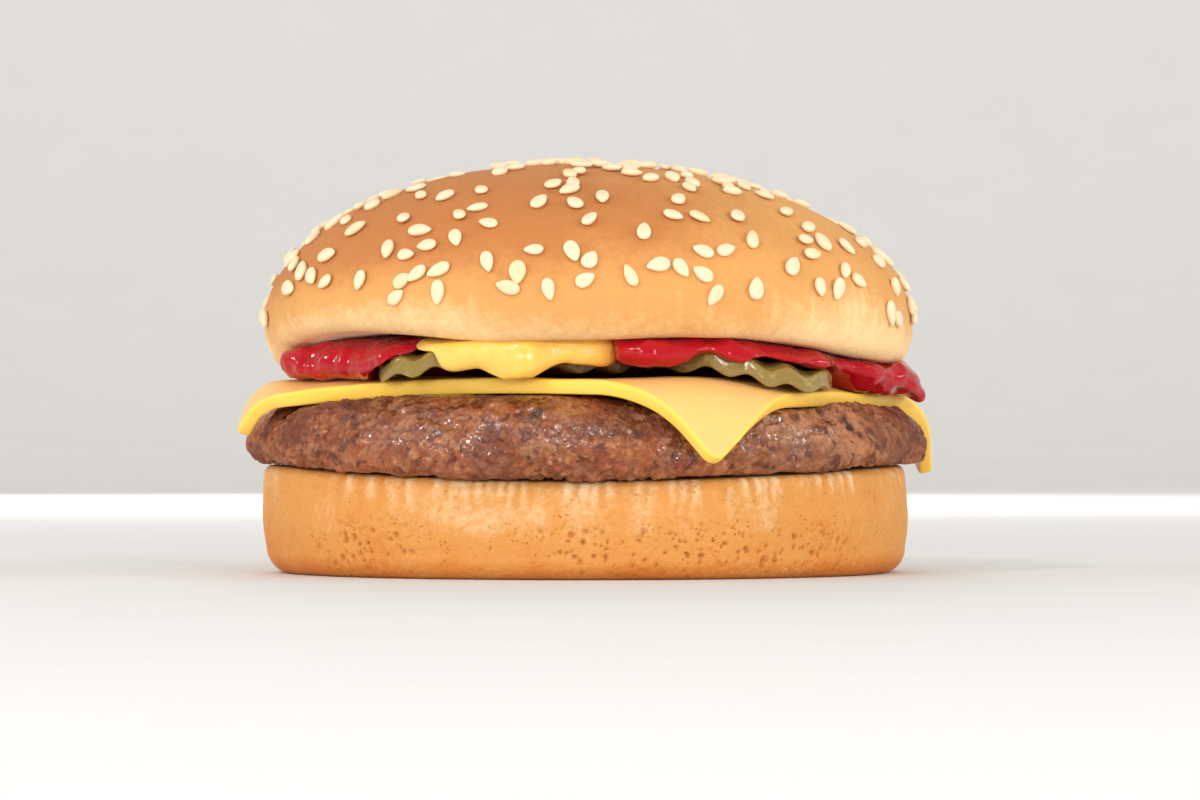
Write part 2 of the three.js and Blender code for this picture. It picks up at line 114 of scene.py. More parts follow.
CHEESE_BENDS = (
    bend(8, 45.4, 7.5, 68),
    bend(-28, 32.0, 26.0, 16),
    bend(-71, 44.8, 12.0, 55),
    bend(-135, 34.5, 38.0, 18),
    bend(-175, 47.7, 5.0, 64),
    bend(110, 45.6, 8.0, 68),
)

PICKLE = SimpleNamespace(thickness=2.0, wave=0.5, pitch=6.0, clear=0.5)
PICKLES = {
    "pickle_left": SimpleNamespace(x=-20.2, y=-31.2, radius=10.8, arch=1.6, turn=degrees(-12)),
    "pickle_middle": SimpleNamespace(x=-0.6, y=-29.4, radius=8.4, arch=0.2, turn=degrees(20)),
    "pickle_right": SimpleNamespace(x=22.8, y=-27.6, radius=14.2, arch=0.5, turn=degrees(4)),
}

CROWN = SimpleNamespace(
    radius=50.0,
    rim_radius=46.0,
    skirt=7.0,  # height of the widest ring over the rim
    dome=24.6,  # height of the apex over the widest ring
    level=31.0,
    tilt=degrees(4.9),
    shift=(0.3, -1.2),
    lean=1.7,
    dent=4.4,
    dent_radius=45.0,
    dent_centre=(0.0, -8.0),
)


def lobe(turn, width, size, fall=0.0):
    """A lobe in one direction, with its half-width, how far it reaches or lifts and how far it hangs down."""
    return SimpleNamespace(turn=degrees(turn), width=degrees(width), size=size, fall=fall)


CROWN_LIFTS = (lobe(-147, 42, 2.9), lobe(-62, 30, 0.7))

SAUCE = SimpleNamespace(
    thickest=6.0,
    rim=0.9,
    hang_from=0.6,
    hang_full=0.85,
    filled=(0.74, 0.66),  # shares of the reach where the filling starts and is full
    sunk=(0.64, 0.58),  # shares of the reach where it starts to sink into the cheese and is full
    sink=0.25,
    touch=0.1,  # how far it goes into the crust, and how far it lies over the cheese
)
KETCHUP = SimpleNamespace(
    centre=(0.3, -1.2),
    film=2.2,
    reach=43.0,
    lobes=(
        lobe(-172, 22, 2.8, 3),
        lobe(-154, 31, 4.0, 6.5),
        lobe(-126, 18, 3.4, 0.4),
        lobe(-77, 15, 3.4, 2.4),
        lobe(-61, 11, 4.6, 1.0),
        lobe(-48, 12, 4.6, 1.8),
        lobe(-36, 10, 2.6, 1.4),
        lobe(-22, 13, 4.4, 3.0),
        lobe(-7, 14, 8.2, 5.0),
        lobe(38, 18, 3.0, 1.0),
        lobe(82, 22, 2.0, 1.0),
        lobe(120, 18, 2.6, 1.6),
        lobe(152, 20, 2.4, 1.0),
    ),
    notches=(lobe(-104, 20, 7.0),),  # where the mustard lies in front
    sway=0.9,  # how far its outline and its lower edge wander
    filling=12.0,  # how much deeper it lies behind its lip, down to what is under it
)
MUSTARD = SimpleNamespace(
    centre=(-10.4, -32.0),
    film=3.7,
    reach=12.6,
    lobes=(
        lobe(-152, 42, 3.6, 0),
        lobe(-118, 24, 1.6, 0.6),
        lobe(-86, 30, 2.2, 2.4),
        lobe(-36, 38, 5.2, 0.8),
    ),
    notches=(),
    sway=0.35,
    filling=0.0,
)

SEED = SimpleNamespace(length=3.6, width=2.2, height=1.4, sink=0.2, taper=0.2, smallest=0.88, largest=1.12)
SEED_STREAM = 149
SEED_COUNT = 290
SEED_SPACING = 2.5
SEED_LOWEST = degrees(-14)
SEED_THINNING = degrees(12)
SEED_FEWEST = 0.15
SEED_CHANCE = 2


# ---- Numbers and noise ----


def ease(share):
    share = np.clip(share, 0.0, 1.0)
    return share * share * (3 - 2 * share)


def ease_between(start, full, value):
    return ease((value - start) / (full - start))


def bell(distance, width):
    """1 in the middle, falling off smoothly on both sides."""
    return np.exp(-((distance / width) ** 2))


def angle_between(a, b):
    return np.arctan2(np.sin(a - b), np.cos(a - b))


def side_bell(turn, middle, width):
    """1 towards the middle, falling off smoothly round a piece. The middle and the width are in degrees."""
    return bell(angle_between(turn, degrees(middle)), degrees(width))


def all_round(count):
    """Directions all round a piece, as one row."""
    return np.linspace(-math.pi, math.pi, count, endpoint=False)[None, :]


def rotated(x, y, turn):
    """Places of the plan turned round the middle."""
    cosine, sine = math.cos(turn), math.sin(turn)
    return cosine * x - sine * y, sine * x + cosine * y


def polar(reach, turn):
    """Places of the plan from how far out they lie in each direction."""
    return reach * np.cos(turn), reach * np.sin(turn)


def lobe_sum(lobes, turn, key="size"):
    """The sum of the lobes in each direction: each is full at its own direction and gone at its half-width."""
    total = np.zeros_like(turn)
    for one in lobes:
        apart = np.abs(angle_between(turn, one.turn)) / one.width
        total += np.where(apart < 1, getattr(one, key) * (1 - apart * apart) ** 2, 0.0)
    return total


def cell_random(cells, stream=0):
    """A random number from 0 to 1 for each whole cell, (..., 3)."""
    i, j, k = np.moveaxis(cells.astype(np.int64), -1, 0)
    mixed = (i * 73856093) ^ (j * 19349663) ^ (k * 83492791) ^ (stream * 40503 + 977)
    mixed = ((mixed ^ (mixed >> 15)) & 0xFFFFFFFF) * 668265263 & 0xFFFFFFFF
    mixed = ((mixed ^ (mixed >> 13)) & 0xFFFFFFFF) * 374761393 & 0xFFFFFFFF
    return (mixed ^ (mixed >> 16)) / 4294967296.0


def lattice_value(cells, stream):
    """The value from -1 to 1 at each corner of the lattice that the patty's solid uses."""
    spread = np.sin(cells @ np.array([127.1, 311.7, 74.7])) * 43758.5453
    return 2 * (spread - np.floor(spread)) - 1


def soft_noise(points, size, stream=0, values=None):
    """Smooth lumps from -1 to 1, about size wide."""
    scaled = points / size
    cell = np.floor(scaled)
    part = ease(scaled - cell)
    total = 0.0
    for corner in range(8):
        step = np.array([corner & 1, (corner >> 1) & 1, corner >> 2])
        weight = np.prod(np.where(step == 1, part, 1 - part), axis=-1)
        value = values(cell + step, stream) if values else 2 * cell_random(cell + step, stream) - 1
        total = total + weight * value
    return total


def rough_noise(points, size, stream=0, layers=3):
    """Lumps on lumps, each layer half the size and half the height of the one before."""
    total = 0.0
    for layer in range(layers):
        total = total + soft_noise(points, size / 2**layer, stream + layer) / 2**layer
    return total / (2 - 2 ** (1 - layers))


def swells(points, layers):
    """Soft relief from layers of lumps, each with its height, width and stream."""
    return sum(height * soft_noise(points, width, stream) for height, width, stream in layers)


def crumbs_of(points, size, stream=0):
    """Splits space into uneven crumbs. Gives the distances to the nearest two middles, in crumb sizes, and a random
    number for the nearest crumb."""
    scaled = points / size
    home = np.floor(scaled)
    nearest = np.full(points.shape[:-1], 9.0)
    second = nearest.copy()
    tone = np.zeros(nearest.shape)
    for step in np.ndindex(3, 3, 3):
        cell = home + np.array(step) - 1
        middle = cell + np.stack([cell_random(cell, stream + axis) for axis in range(3)], axis=-1)
        away = np.linalg.norm(scaled - middle, axis=-1)
        closer = away < nearest
        second = np.where(closer, nearest, np.minimum(second, away))
        tone = np.where(closer, cell_random(cell, stream + 7), tone)
        nearest = np.minimum(nearest, away)
    return nearest, second, tone


def random_stream(seed):
    """A repeatable stream of numbers from 0 to 1 (Park and Miller's generator), as in the solids."""
    state = seed
    while True:
        state = (state * 48271) % 2147483647
        yield state / 2147483647


def quarter(steps):
    """Cosines and sines from 0 to 90 degrees, both ends included."""
    angle = np.linspace(0, math.pi / 2, steps + 1)
    return np.cos(angle), np.sin(angle)


# ---- Meshes ----


def mesh_object(name, points, quads, triangles=(), masks=None):
    """A smooth-shaded object from points in millimetres, with a number at each point for each mask."""
    quads = np.asarray(quads, np.int32).reshape(-1, 4)
    triangles = np.asarray(triangles, np.int32).reshape(-1, 3)
    mesh = bpy.data.meshes.new(name)
    mesh.vertices.add(len(points))
    mesh.vertices.foreach_set("co", (np.asarray(points) * MM).astype(np.float32).ravel())
    corners = np.concatenate([quads.ravel(), triangles.ravel()])
    mesh.loops.add(len(corners))
    mesh.loops.foreach_set("vertex_index", corners)
    starts = np.concatenate([
        np.arange(len(quads)) * 4,
        quads.size + np.arange(len(triangles)) * 3,
    ]).astype(np.int32)
    mesh.polygons.add(len(starts))
    mesh.polygons.foreach_set("loop_start", starts)
    mesh.polygons.foreach_set("use_smooth", np.ones(len(starts), bool))
    mesh.update(calc_edges=True)
    for mask, values in (masks or {}).items():
        attribute = mesh.attributes.new(mask, "FLOAT", "POINT")
        attribute.data.foreach_set("value", np.asarray(values, np.float32).ravel())
    if mesh.validate():
        raise RuntimeError(f"the mesh of {name} has faces that can't be right")
    made = bpy.data.objects.new(name, mesh)
    bpy.context.scene.collection.objects.link(made)
    return made


def skin_points(rings):
    """Values for the points of a closed skin, from rings of them, (rows, columns, ...). The first and the last ring
    are drawn together to one point each."""
    middle = rings[1:-1].reshape(-1, *rings.shape[2:])
    return np.concatenate([rings[:1, 0], middle, rings[-1:, 0]])


def skin_faces(rows, columns):
    """Quads and triangles of such a skin, facing out where the rings run up and round from +X to +Y."""
    index = 1 + np.arange((rows - 2) * columns).reshape(rows - 2, columns)
    after = np.roll(index, -1, axis=1)
    quads = np.stack([index[:-1], after[:-1], after[1:], index[1:]], axis=-1).reshape(-1, 4)
    last = 1 + (rows - 2) * columns
    bottom = np.stack([np.zeros(columns, int), after[0], index[0]], axis=-1)
    top = np.stack([index[-1], after[-1], np.full(columns, last)], axis=-1)
    return quads, np.concatenate([bottom, top])


def skin_object(name, rings, masks=None):
    """A closed skin over rings of points, with its masks given as (rows, columns)."""
    quads, triangles = skin_faces(*rings.shape[:2])
    flat = {mask: skin_points(values) for mask, values in (masks or {}).items()}
    return mesh_object(name, skin_points(rings), quads, triangles, flat)


def ring_normals(rings):
    """The direction that faces out at each point of a skin's rings."""
    around = np.roll(rings, -1, axis=1) - np.roll(rings, 1, axis=1)
    rising = np.gradient(rings, axis=0)
    normal = np.cross(around, rising)
    length = np.linalg.norm(normal, axis=-1, keepdims=True)
    return normal / np.maximum(length, 1e-9)


def finish_piece(piece, material, node):
    """Gives a piece its material, sets it to ride on the body, and hides the solid that it stands for."""
    piece.data.materials.append(material)
    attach(piece, BODY)
    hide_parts(node)


# ---- Heel shape ----


def heel_top(x, y):
    """The height of the cut face, which sags under the patty towards the front and the back."""
    sag = np.where(y < 0, HEEL.front_sag, HEEL.back_sag)
    return HEEL.height - sag * (y / HEEL.radius) ** 2


def heel_uneven(turn):
    return 0.005 * np.sin(3 * turn + 3) - 0.009 * np.cos(turn)


ROUND_STEPS = 12  # of a rounded edge
WALL_ROWS = 40
BROW_STEPS = 48


def heel_profile():
    """Radius and height of the heel's outline from the base's middle to the cut face's middle."""
    side = HEEL.radius - HEEL.bulge
    shoulder = HEEL.height - HEEL.shoulder_drop
    cosine, sine = quarter(ROUND_STEPS)
    foot = (HEEL.base_radius + (side - HEEL.base_radius) * sine, HEEL.foot_height * (1 - cosine))
    share = np.linspace(0, 1, WALL_ROWS + 2)[1:-1]
    wall = (
        side + HEEL.bulge * np.sin(math.pi * share),
        HEEL.foot_height + (shoulder - HEEL.foot_height) * share,
    )
    edge = (
        HEEL.shoulder_radius + (side - HEEL.shoulder_radius) * cosine,
        shoulder + HEEL.shoulder_drop * sine,
    )
    base = np.array([0, 0.4, 0.75, 0.93]) * HEEL.base_radius
    face = np.array([0.97, 0.9, 0.8, 0.6, 0.3, 0]) * HEEL.shoulder_radius
    radii = np.concatenate([base, foot[0], wall[0], edge[0], face])
    heights = np.concatenate([base * 0, foot[1], wall[1], edge[1], face * 0 + HEEL.height])
    return radii, heights


# ---- Cheese shape ----


def cheese_bed(x, y):
    """The height of the underside before it bends down at the edges."""
    return CHEESE.level - CHEESE.slope * y - CHEESE.curve * y * y


def cheese_under(x, y):
    height = cheese_bed(x, y)
    for one in CHEESE_BENDS:
        past = np.maximum(0, x * math.cos(one.turn) + y * math.sin(one.turn) - one.start)
        arc = np.minimum(past, one.radius * math.sin(one.angle))
        height = height - one.radius + np.sqrt(one.radius**2 - arc**2) - (past - arc) * math.tan(one.angle)
    return height


def cheese_top(x, y):
    return cheese_under(x, y) + CHEESE.thickness


def cheese_points(flat, lift):
    """Carries points (n, 2) of the flat slice to where the bent slice has them, lifted off its underside."""
    moved = np.column_stack([flat, np.zeros(len(flat))])
    normal = np.tile([0.0, 0.0, 1.0], (len(flat), 1))
    for one in CHEESE_BENDS:
        along = np.array([math.cos(one.turn), math.sin(one.turn)])
        past = np.maximum(0, flat @ along - one.start)
        turned = np.minimum(past / one.radius, one.angle)
        straight = past - one.radius * turned
        back = past - one.radius * np.sin(turned) - straight * np.cos(turned)
        moved[:, :2] -= back[:, None] * along
        moved[:, 2] -= one.radius * (1 - np.cos(turned)) + straight * np.sin(turned)
        normal[:, :2] += np.sin(turned)[:, None] * along
        normal[:, 2] += np.cos(turned) - 1
    moved[:, 2] += cheese_bed(moved[:, 0], moved[:, 1])
    normal /= np.linalg.norm(normal, axis=1, keepdims=True)
    return moved + normal * np.asarray(lift)[:, None]


def round_square(half, corner, points):
    """Moves points of a square in where its corners are rounded."""
    straight = half - corner
    past = np.abs(points) - straight
    both = (past > 0).all(axis=1)
    shorter = np.where(both, past.max(axis=1) / np.maximum(np.linalg.norm(past, axis=1), 1e-9), 1.0)
    rounded = np.sign(points) * (straight + past * shorter[:, None])
    return np.where(both[:, None], rounded, points)


# ---- Pickle shape ----


def slice_lift(one, along):
    """How high the middle of a slice lies over the cheese, at a place along its own X."""
    return PICKLE.clear + PICKLE.wave + PICKLE.thickness / 2 + one.arch * (1 - (along / one.radius) ** 2)


def filling_floor(x, y):
    """The surface that the sauces lie on: the cheese, and the pickles where they are."""
    cheese = cheese_top(x, y)
    floor = cheese + SAUCE.touch
    for one in PICKLES.values():
        along, _ = rotated(x - one.x, y - one.y, -one.turn)
        inside = ease_between(one.radius + 2.2, one.radius, np.hypot(x - one.x, y - one.y))
        height = slice_lift(one, np.clip(along, -one.radius, one.radius)) + PICKLE.wave + PICKLE.thickness / 2
        floor = np.maximum(floor, cheese + inside * height)
    return floor


# ---- Patty shape ----


def patty_reach(turn):
    return 1 + 0.01 * np.cos(2 * turn) + 0.008 * np.sin(3 * turn + 1.2) + 0.006 * np.sin(7 * turn)


def patty_profile():
    """Shares of the radius and levels of the patty's outline, from the underside's middle to the top's middle."""
    foot_cosine, foot_sine = quarter(ROUND_STEPS)
    brow_cosine, brow_sine = quarter(BROW_STEPS)
    under = np.array([0, 0.3, 0.55, 0.75, 0.85, 0.9, 0.93])
    top = np.array([0.76, 0.72, 0.66, 0.5, 0.25, 0])
    foot = PATTY.foot_radius + (1 - PATTY.foot_radius) * foot_sine
    foot_level = PATTY.rim_level - (1 + PATTY.rim_level) * foot_cosine
    brow = PATTY.shoulder + (1 - PATTY.shoulder) * brow_cosine[1:]
    brow_level = PATTY.rim_level + (1 - PATTY.rim_level) * brow_sine[1:]
    shares = np.concatenate([under, foot, brow, top])
    levels = np.concatenate([under * 0 - 1, foot_level, brow_level, top * 0 + 1])
    return shares, levels


def past_cheese(x, y):
    """How far a place lies outside the edges of the flat slice, seen from above; less than zero under it."""
    right, back = rotated(x - CHEESE.centre[0], y - CHEESE.centre[1], -CHEESE.turn)
    return np.maximum(np.abs(right), np.abs(back)) - CHEESE.side / 2


def patty_between(points):
    """Keeps points just clear of the heel and of the cheese where it hangs over them."""
    x, y = points[..., 0], points[..., 1]
    wider = PATTY.clearance
    under = np.minimum(cheese_under(x, y), cheese_under(x * wider, y * wider))
    ceiling = under - PATTY.clear + 3.0 * ease_between(0.2, 3.0, past_cheese(x, y))
    height = np.maximum(heel_top(x, y) + PATTY.clear, np.minimum(points[..., 2], ceiling))
    return np.stack([x, y, height], axis=-1)


# ---- Crown shape ----


def crown_uneven(turn):
    return 1 + 0.005 * np.sin(2 * turn + 1) + 0.004 * np.sin(3 * turn + 2.6)


def rim_lift(turn, height):
    return lobe_sum(CROWN_LIFTS, turn) * np.clip(1 - height / CROWN.skirt, 0, 1)


def crown_skin(turn, up):
    """The skin in the crown's own frame. The angle up is 90 degrees at the apex, 0 at the widest ring and -90 at
    the rim."""
    dome = up > 0
    out = np.where(
        dome,
        CROWN.radius * np.cos(up),
        CROWN.rim_radius + (CROWN.radius - CROWN.rim_radius) * np.cos(up),
    )
    height = CROWN.skirt + np.where(dome, CROWN.dome, CROWN.skirt) * np.sin(up)
    reach = out * crown_uneven(turn)
    shift = CROWN.lean * (height / (CROWN.skirt + CROWN.dome)) ** 2
    return np.stack([
        reach * np.cos(turn) - shift,
        reach * np.sin(turn),
        height + rim_lift(turn, height),
    ], axis=-1)


def crown_under(x, y):
    """The cut face in the crown's own frame, and outside the rim the underside of its skirt."""
    turn = np.arctan2(y, x)
    reach = np.hypot(x, y) / crown_uneven(turn)
    away = np.hypot(x - CROWN.dent_centre[0], y - CROWN.dent_centre[1]) / CROWN.dent_radius
    share = np.minimum(reach / CROWN.rim_radius, 1)
    dent = CROWN.dent * np.maximum(0, 1 - away * away) * (1 - share**8)
    face = dent + rim_lift(turn, 0) * share**3
    out = np.clip((reach - CROWN.rim_radius) / (CROWN.radius - CROWN.rim_radius), 0, 1)
    height = CROWN.skirt * (1 - np.sqrt(1 - out * out))
    return np.where(reach < CROWN.rim_radius, face, height + rim_lift(turn, height))


def crown_floor(x, y):
    """The height of that surface over a point of the plan, with the crown in its place."""
    across = x - CROWN.shift[0]
    along = (y - CROWN.shift[1]) / math.cos(CROWN.tilt)
    height = crown_under(across, along - crown_under(across, along) * math.sin(CROWN.tilt))
    drop = (along - height * math.tan(CROWN.tilt)) * math.sin(CROWN.tilt)
    return CROWN.level - drop + height * math.cos(CROWN.tilt)


def crown_in_place(points):
    """Tips the crown back, front rim up, and sets it over the fillings."""
    x, y, z = np.moveaxis(points, -1, 0)
    sine, cosine = math.sin(CROWN.tilt), math.cos(CROWN.tilt)
    return np.stack([
        x + CROWN.shift[0],
        y * cosine + z * sine + CROWN.shift[1],
        z * cosine - y * sine + CROWN.level,
    ], axis=-1)


def seed_places():
    """Where each seed lies: turn, angle up, spin, size, and its point on the skin in the crown's own frame."""
    draw = random_stream(SEED_STREAM)
    places = []
    points = np.full((SEED_COUNT, 3), 1e9)
    while len(places) < SEED_COUNT:
        turn = 2 * math.pi * next(draw)
        up = SEED_LOWEST + (math.pi / 2 - SEED_LOWEST) * next(draw)
        half_height = CROWN.dome if up > 0 else CROWN.skirt
        area = math.cos(up) * math.hypot(math.sin(up), math.cos(up) * half_height / CROWN.radius)
        spread = min(1, max(0, SEED_FEWEST + (up - SEED_LOWEST) / (SEED_THINNING - SEED_LOWEST)))
        kept = next(draw) < SEED_CHANCE * area * spread
        spin = 2 * math.pi * next(draw)
        size = SEED.smallest + (SEED.largest - SEED.smallest) * next(draw)
        at = crown_skin(np.float64(turn), np.float64(up))
        if kept and np.linalg.norm(points - at, axis=1).min() > SEED_SPACING:
            points[len(places)] = at
            places.append(SimpleNamespace(turn=turn, up=up, spin=spin, size=size, at=at))
    return places


# ---- Shader nodes ----


class Value:
    """What a node gives out. A sum, difference or product of it makes the node for that."""

    def __init__(self, wiring, socket):
        self.wiring = wiring
        self.socket = socket

    def __add__(self, other):
        return self.wiring.math("ADD", self, other)

    def __sub__(self, other):
        return self.wiring.math("SUBTRACT", self, other)

    def __rsub__(self, other):
        return self.wiring.math("SUBTRACT", other, self)

    def __mul__(self, other):
        return self.wiring.math("MULTIPLY", self, other)

    def clamped(self):
        """Keeps the sum, difference or product between 0 and 1."""
        self.socket.node.use_clamp = True
        return self

    def remap(self, start, end, low=0.0, high=1.0):
        """Eases from low to high while the value runs from start to end."""
        inputs = {0: self, 1: start, 2: end, 3: low, 4: high}
        return self.wiring.value(0, "MapRange", inputs, interpolation_type="SMOOTHSTEP")


def set_even(socket, value):
    """Sets a socket to the same value all over. A colour is given as three numbers."""
    socket.default_value = (*value, 1.0) if hasattr(value, "__len__") else value


class Wiring:
    """Places nodes in a tree and joins them up. An input is given as a number, a colour or a Value."""

    def __init__(self, tree):
        self.tree = tree

    def join(self, value, socket):
        if isinstance(value, Value):
            self.tree.links.new(value.socket, socket)
        else:
            set_even(socket, value)

    def node(self, kind, inputs, **settings):
        made = self.tree.nodes.new("ShaderNode" + kind)
        for key, setting in settings.items():
            setattr(made, key, setting)
        for key, value in inputs.items():
            self.join(value, made.inputs[key])
        return made

    def value(self, output, kind, inputs, **settings):
        return Value(self, self.node(kind, inputs, **settings).outputs[output])

    def group(self, tree, inputs):
        """The outputs of a node group, by name."""
        made = self.node("Group", inputs, node_tree=tree)
        return {one.name: Value(self, one) for one in made.outputs}

    @cached_property
    def where(self):
        """The place on the piece itself."""
        return self.value("Object", "TexCoord", {})

    def math(self, operation, first, second):
        return self.value(0, "Math", {0: first, 1: second}, operation=operation)

    def mix(self, share, first, second):
        """Mixes two colours."""
        return self.value(2, "Mix", {0: share, 6: first, 7: second}, data_type="RGBA")

    def noise(self, scale, detail, roughness=0.55, distortion=0.0):
        return self.value("Fac", "TexNoise", {
            "Vector": self.where, "Scale": scale, "Detail": detail, "Roughness": roughness, "Distortion": distortion,
        })

    def spots(self, scale):
        """The distance to the nearest of many scattered points."""
        return self.value("Distance", "TexVoronoi", {"Vector": self.where, "Scale": scale})

    def mask(self, name):
        return self.value("Fac", "Attribute", {}, attribute_name=name)


def node_group(name, inputs, outputs, wire):
    """A shader node group with named sockets, made once. It gives out what wire returns by name."""
    if name in bpy.data.node_groups:
        return bpy.data.node_groups[name]
    tree = bpy.data.node_groups.new(name, "ShaderNodeTree")
    for label, value in inputs.items():
        kind = "Color" if isinstance(value, tuple) else "Float"
        set_even(tree.interface.new_socket(label, in_out="INPUT", socket_type="NodeSocket" + kind), value)
    for label, kind in outputs.items():
        tree.interface.new_socket(label, in_out="OUTPUT", socket_type="NodeSocket" + kind)
    wiring = Wiring(tree)
    given = {one.name: Value(wiring, one) for one in tree.nodes.new("NodeGroupInput").outputs}
    leave = tree.nodes.new("NodeGroupOutput")
    for label, value in wire(wiring, given).items():
        wiring.join(value, leave.inputs[label])
    return tree


def wire_crust(wiring, given):
    patches = wiring.noise(90.0, 4.0)
    freckles = wiring.noise(1000.0, 4.0, 0.7)
    uneven = (patches - 0.5) + (freckles - 0.5) * 0.8
    bake = (given["Bake"] + uneven * given["Mottle"]).clamped()
    light = wiring.mix(bake.remap(0.05, 0.5), given["Cream"], given["Golden"])
    return {
        "Color": wiring.mix(bake.remap(0.5, 1.0), light, given["Brown"]),
        "Grain": freckles * 0.7 + wiring.noise(2600.0, 2.0, 0.5) * 0.3,
    }


def baked_crust_group():
    """Crust colour from how far it is baked, with painted shade carried in the same mask: cream, golden and brown,
    mottled, with the crust's fine grain.
    """
    inputs = {
        "Bake": 0.5, "Mottle": 0.1, "Cream": (0.9, 0.7, 0.4), "Golden": (0.8, 0.45, 0.15), "Brown": (0.5, 0.2, 0.06),
    }
    return node_group("Baked Crust", inputs, {"Color": "Color", "Grain": "Float"}, wire_crust)


def wire_film(wiring, given):
    patches = wiring.noise(given["Bead Scale"] * 0.45, 3.0)
    film = (patches + (given["Cover"] - 0.5)).remap(0.42, 0.6)
    span = given["Wet Roughness"] - given["Dry Roughness"]
    return {
        "Roughness": given["Dry Roughness"] + span * film,
        "Film": film,
        "Beads": wiring.noise(given["Bead Scale"], 2.0, 0.5),
    }


def wet_film_group():
    """Where a moist surface is wet: a lower roughness in patches, and small beads that break up a highlight."""
    inputs = {"Cover": 0.5, "Dry Roughness": 0.5, "Wet Roughness": 0.15, "Bead Scale": 800.0}
    return node_group("Wet Film", inputs, {"Roughness": "Float", "Film": "Float", "Beads": "Float"}, wire_film)


class Surface(Wiring):
    """A material with a Principled shader, whose even values are set on its own sockets."""

    def __init__(self, name, **even):
        self.material = bpy.data.materials.new(name)
        self.material.use_nodes = True
        super().__init__(self.material.node_tree)
        self.sockets = self.tree.nodes["Principled BSDF"].inputs
        for label, value in even.items():
            self.sockets[label.replace("_", " ")].default_value = value

    def set(self, label, value):
        self.join(value, self.sockets[label])

    def bump(self, height, distance):
        """Fine relief, as a height in metres times a value from 0 to 1."""
        self.set("Normal", self.value("Normal", "Bump", {"Height": height, "Distance": distance, "Strength": 1.0}))

    def film(self, cover, dry, wet, beads):
        """Sets the roughness from a wet film, and gives the film's outputs."""
        film = self.group(wet_film_group(), {
            "Cover": cover, "Dry Roughness": dry, "Wet Roughness": wet, "Bead Scale": beads,
        })
        self.set("Roughness", film["Roughness"])
        return film


def crust_surface(name, settings, mottle, specular):
    """A baked surface, and the outputs of its crust."""
    surface = Surface(
        name, Specular_IOR_Level=specular, Subsurface_Weight=0.12, Subsurface_Scale=0.002,
        Subsurface_Radius=(1.0, 0.5, 0.2),
    )
    crust = surface.group(baked_crust_group(), {
        "Bake": surface.mask("bake"), "Mottle": mottle, "Cream": settings.cream,
        "Golden": settings.golden, "Brown": settings.brown,
    })
    return surface, crust


def colour_prop(name, description, default):
    return FloatVectorProperty(
        name=name, description=description, subtype="COLOR", size=3, min=0, max=1, default=default
    )


def length_prop(name, description, default_mm, least_mm=0):
    return FloatProperty(
        name=name, description=description, default=default_mm * MM, min=least_mm * MM, unit="LENGTH"
    )


# ---- Heel ----


class BurgerHeelSettings(bpy.types.PropertyGroup):
    """Sizes and colours of the bottom bun."""

    crease_count: IntProperty(
        name="Creases", description="How many creases the patty's weight presses into the side", default=110, min=0
    )
    crease_depth: length_prop("Crease Depth", "Depth of the deepest creases", 0.45)
    pore_size: length_prop("Pore Size", "Width of the largest open pores low on the side", 1.15)
    # The palest crust along the creases is partly painted highlight on their ridges.
    cream: colour_prop("Cream", "Palest crust, along the creases", (0.79, 0.52, 0.28))
    golden: colour_prop("Golden", "Main colour of the side", (0.66, 0.29, 0.07))
    brown: colour_prop("Brown", "Crust along the foot", (0.60, 0.18, 0.024))
    crumb: colour_prop("Crumb", "Soft inside of the cut face", (0.88, 0.74, 0.50))


HEEL_AROUND = 1000
HEEL_FACE_ROWS = 6  # of the cut face, inside its rounded edge
# Soft relief: height, width and stream of each layer.
HEEL_SWELLS = ((0.22, 11.0, 1), (0.08, 3.6, 2), (0.03, 1.5, 3))
HEEL_SINK = 0.12  # how far the side lies inside the solid's
CREASE_SEED = 417
# Stretches of the side with more creases: direction and half-width in degrees, and how many times as likely.
CREASED = ((-122, 20, 1.0), (-72, 24, 2.2), (35, 30, 1.2), (120, 35, 1.2))
# Stretches whose foot is open with pores: direction and half-width in degrees.
PORED = ((-68, 22), (70, 30), (165, 20))
# Layers of pores: spacing, share of the largest pores' size, and stream.
PORES = ((1.9, 1.0, 31), (1.1, 0.5, 37), (1.3, 0.6, 43))
PORE_DEPTH = 0.42
# Painted shade in the pores and pinholes low on the side.
PORE_COLOUR = (0.44, 0.12, 0.018)


def heel_creases(settings):
    """Where the creases run: direction, width, length, depth and slant of each."""
    draw = np.random.default_rng(CREASE_SEED)
    creases = []
    while len(creases) < settings.crease_count:
        turn = draw.uniform(-math.pi, math.pi)
        likely = 0.25 + sum(share * float(side_bell(turn, middle, width)) for middle, width, share in CREASED)
        width, length = draw.uniform(0.3, 0.7) + 0.5 * draw.uniform() ** 4, draw.uniform(3, 9)
        depth, slant = draw.uniform(0.25, 1.0), draw.normal(0, 0.08)
        if draw.uniform() < likely:
            creases.append(SimpleNamespace(turn=turn, width=width, length=length, depth=depth, slant=slant))
    return creases


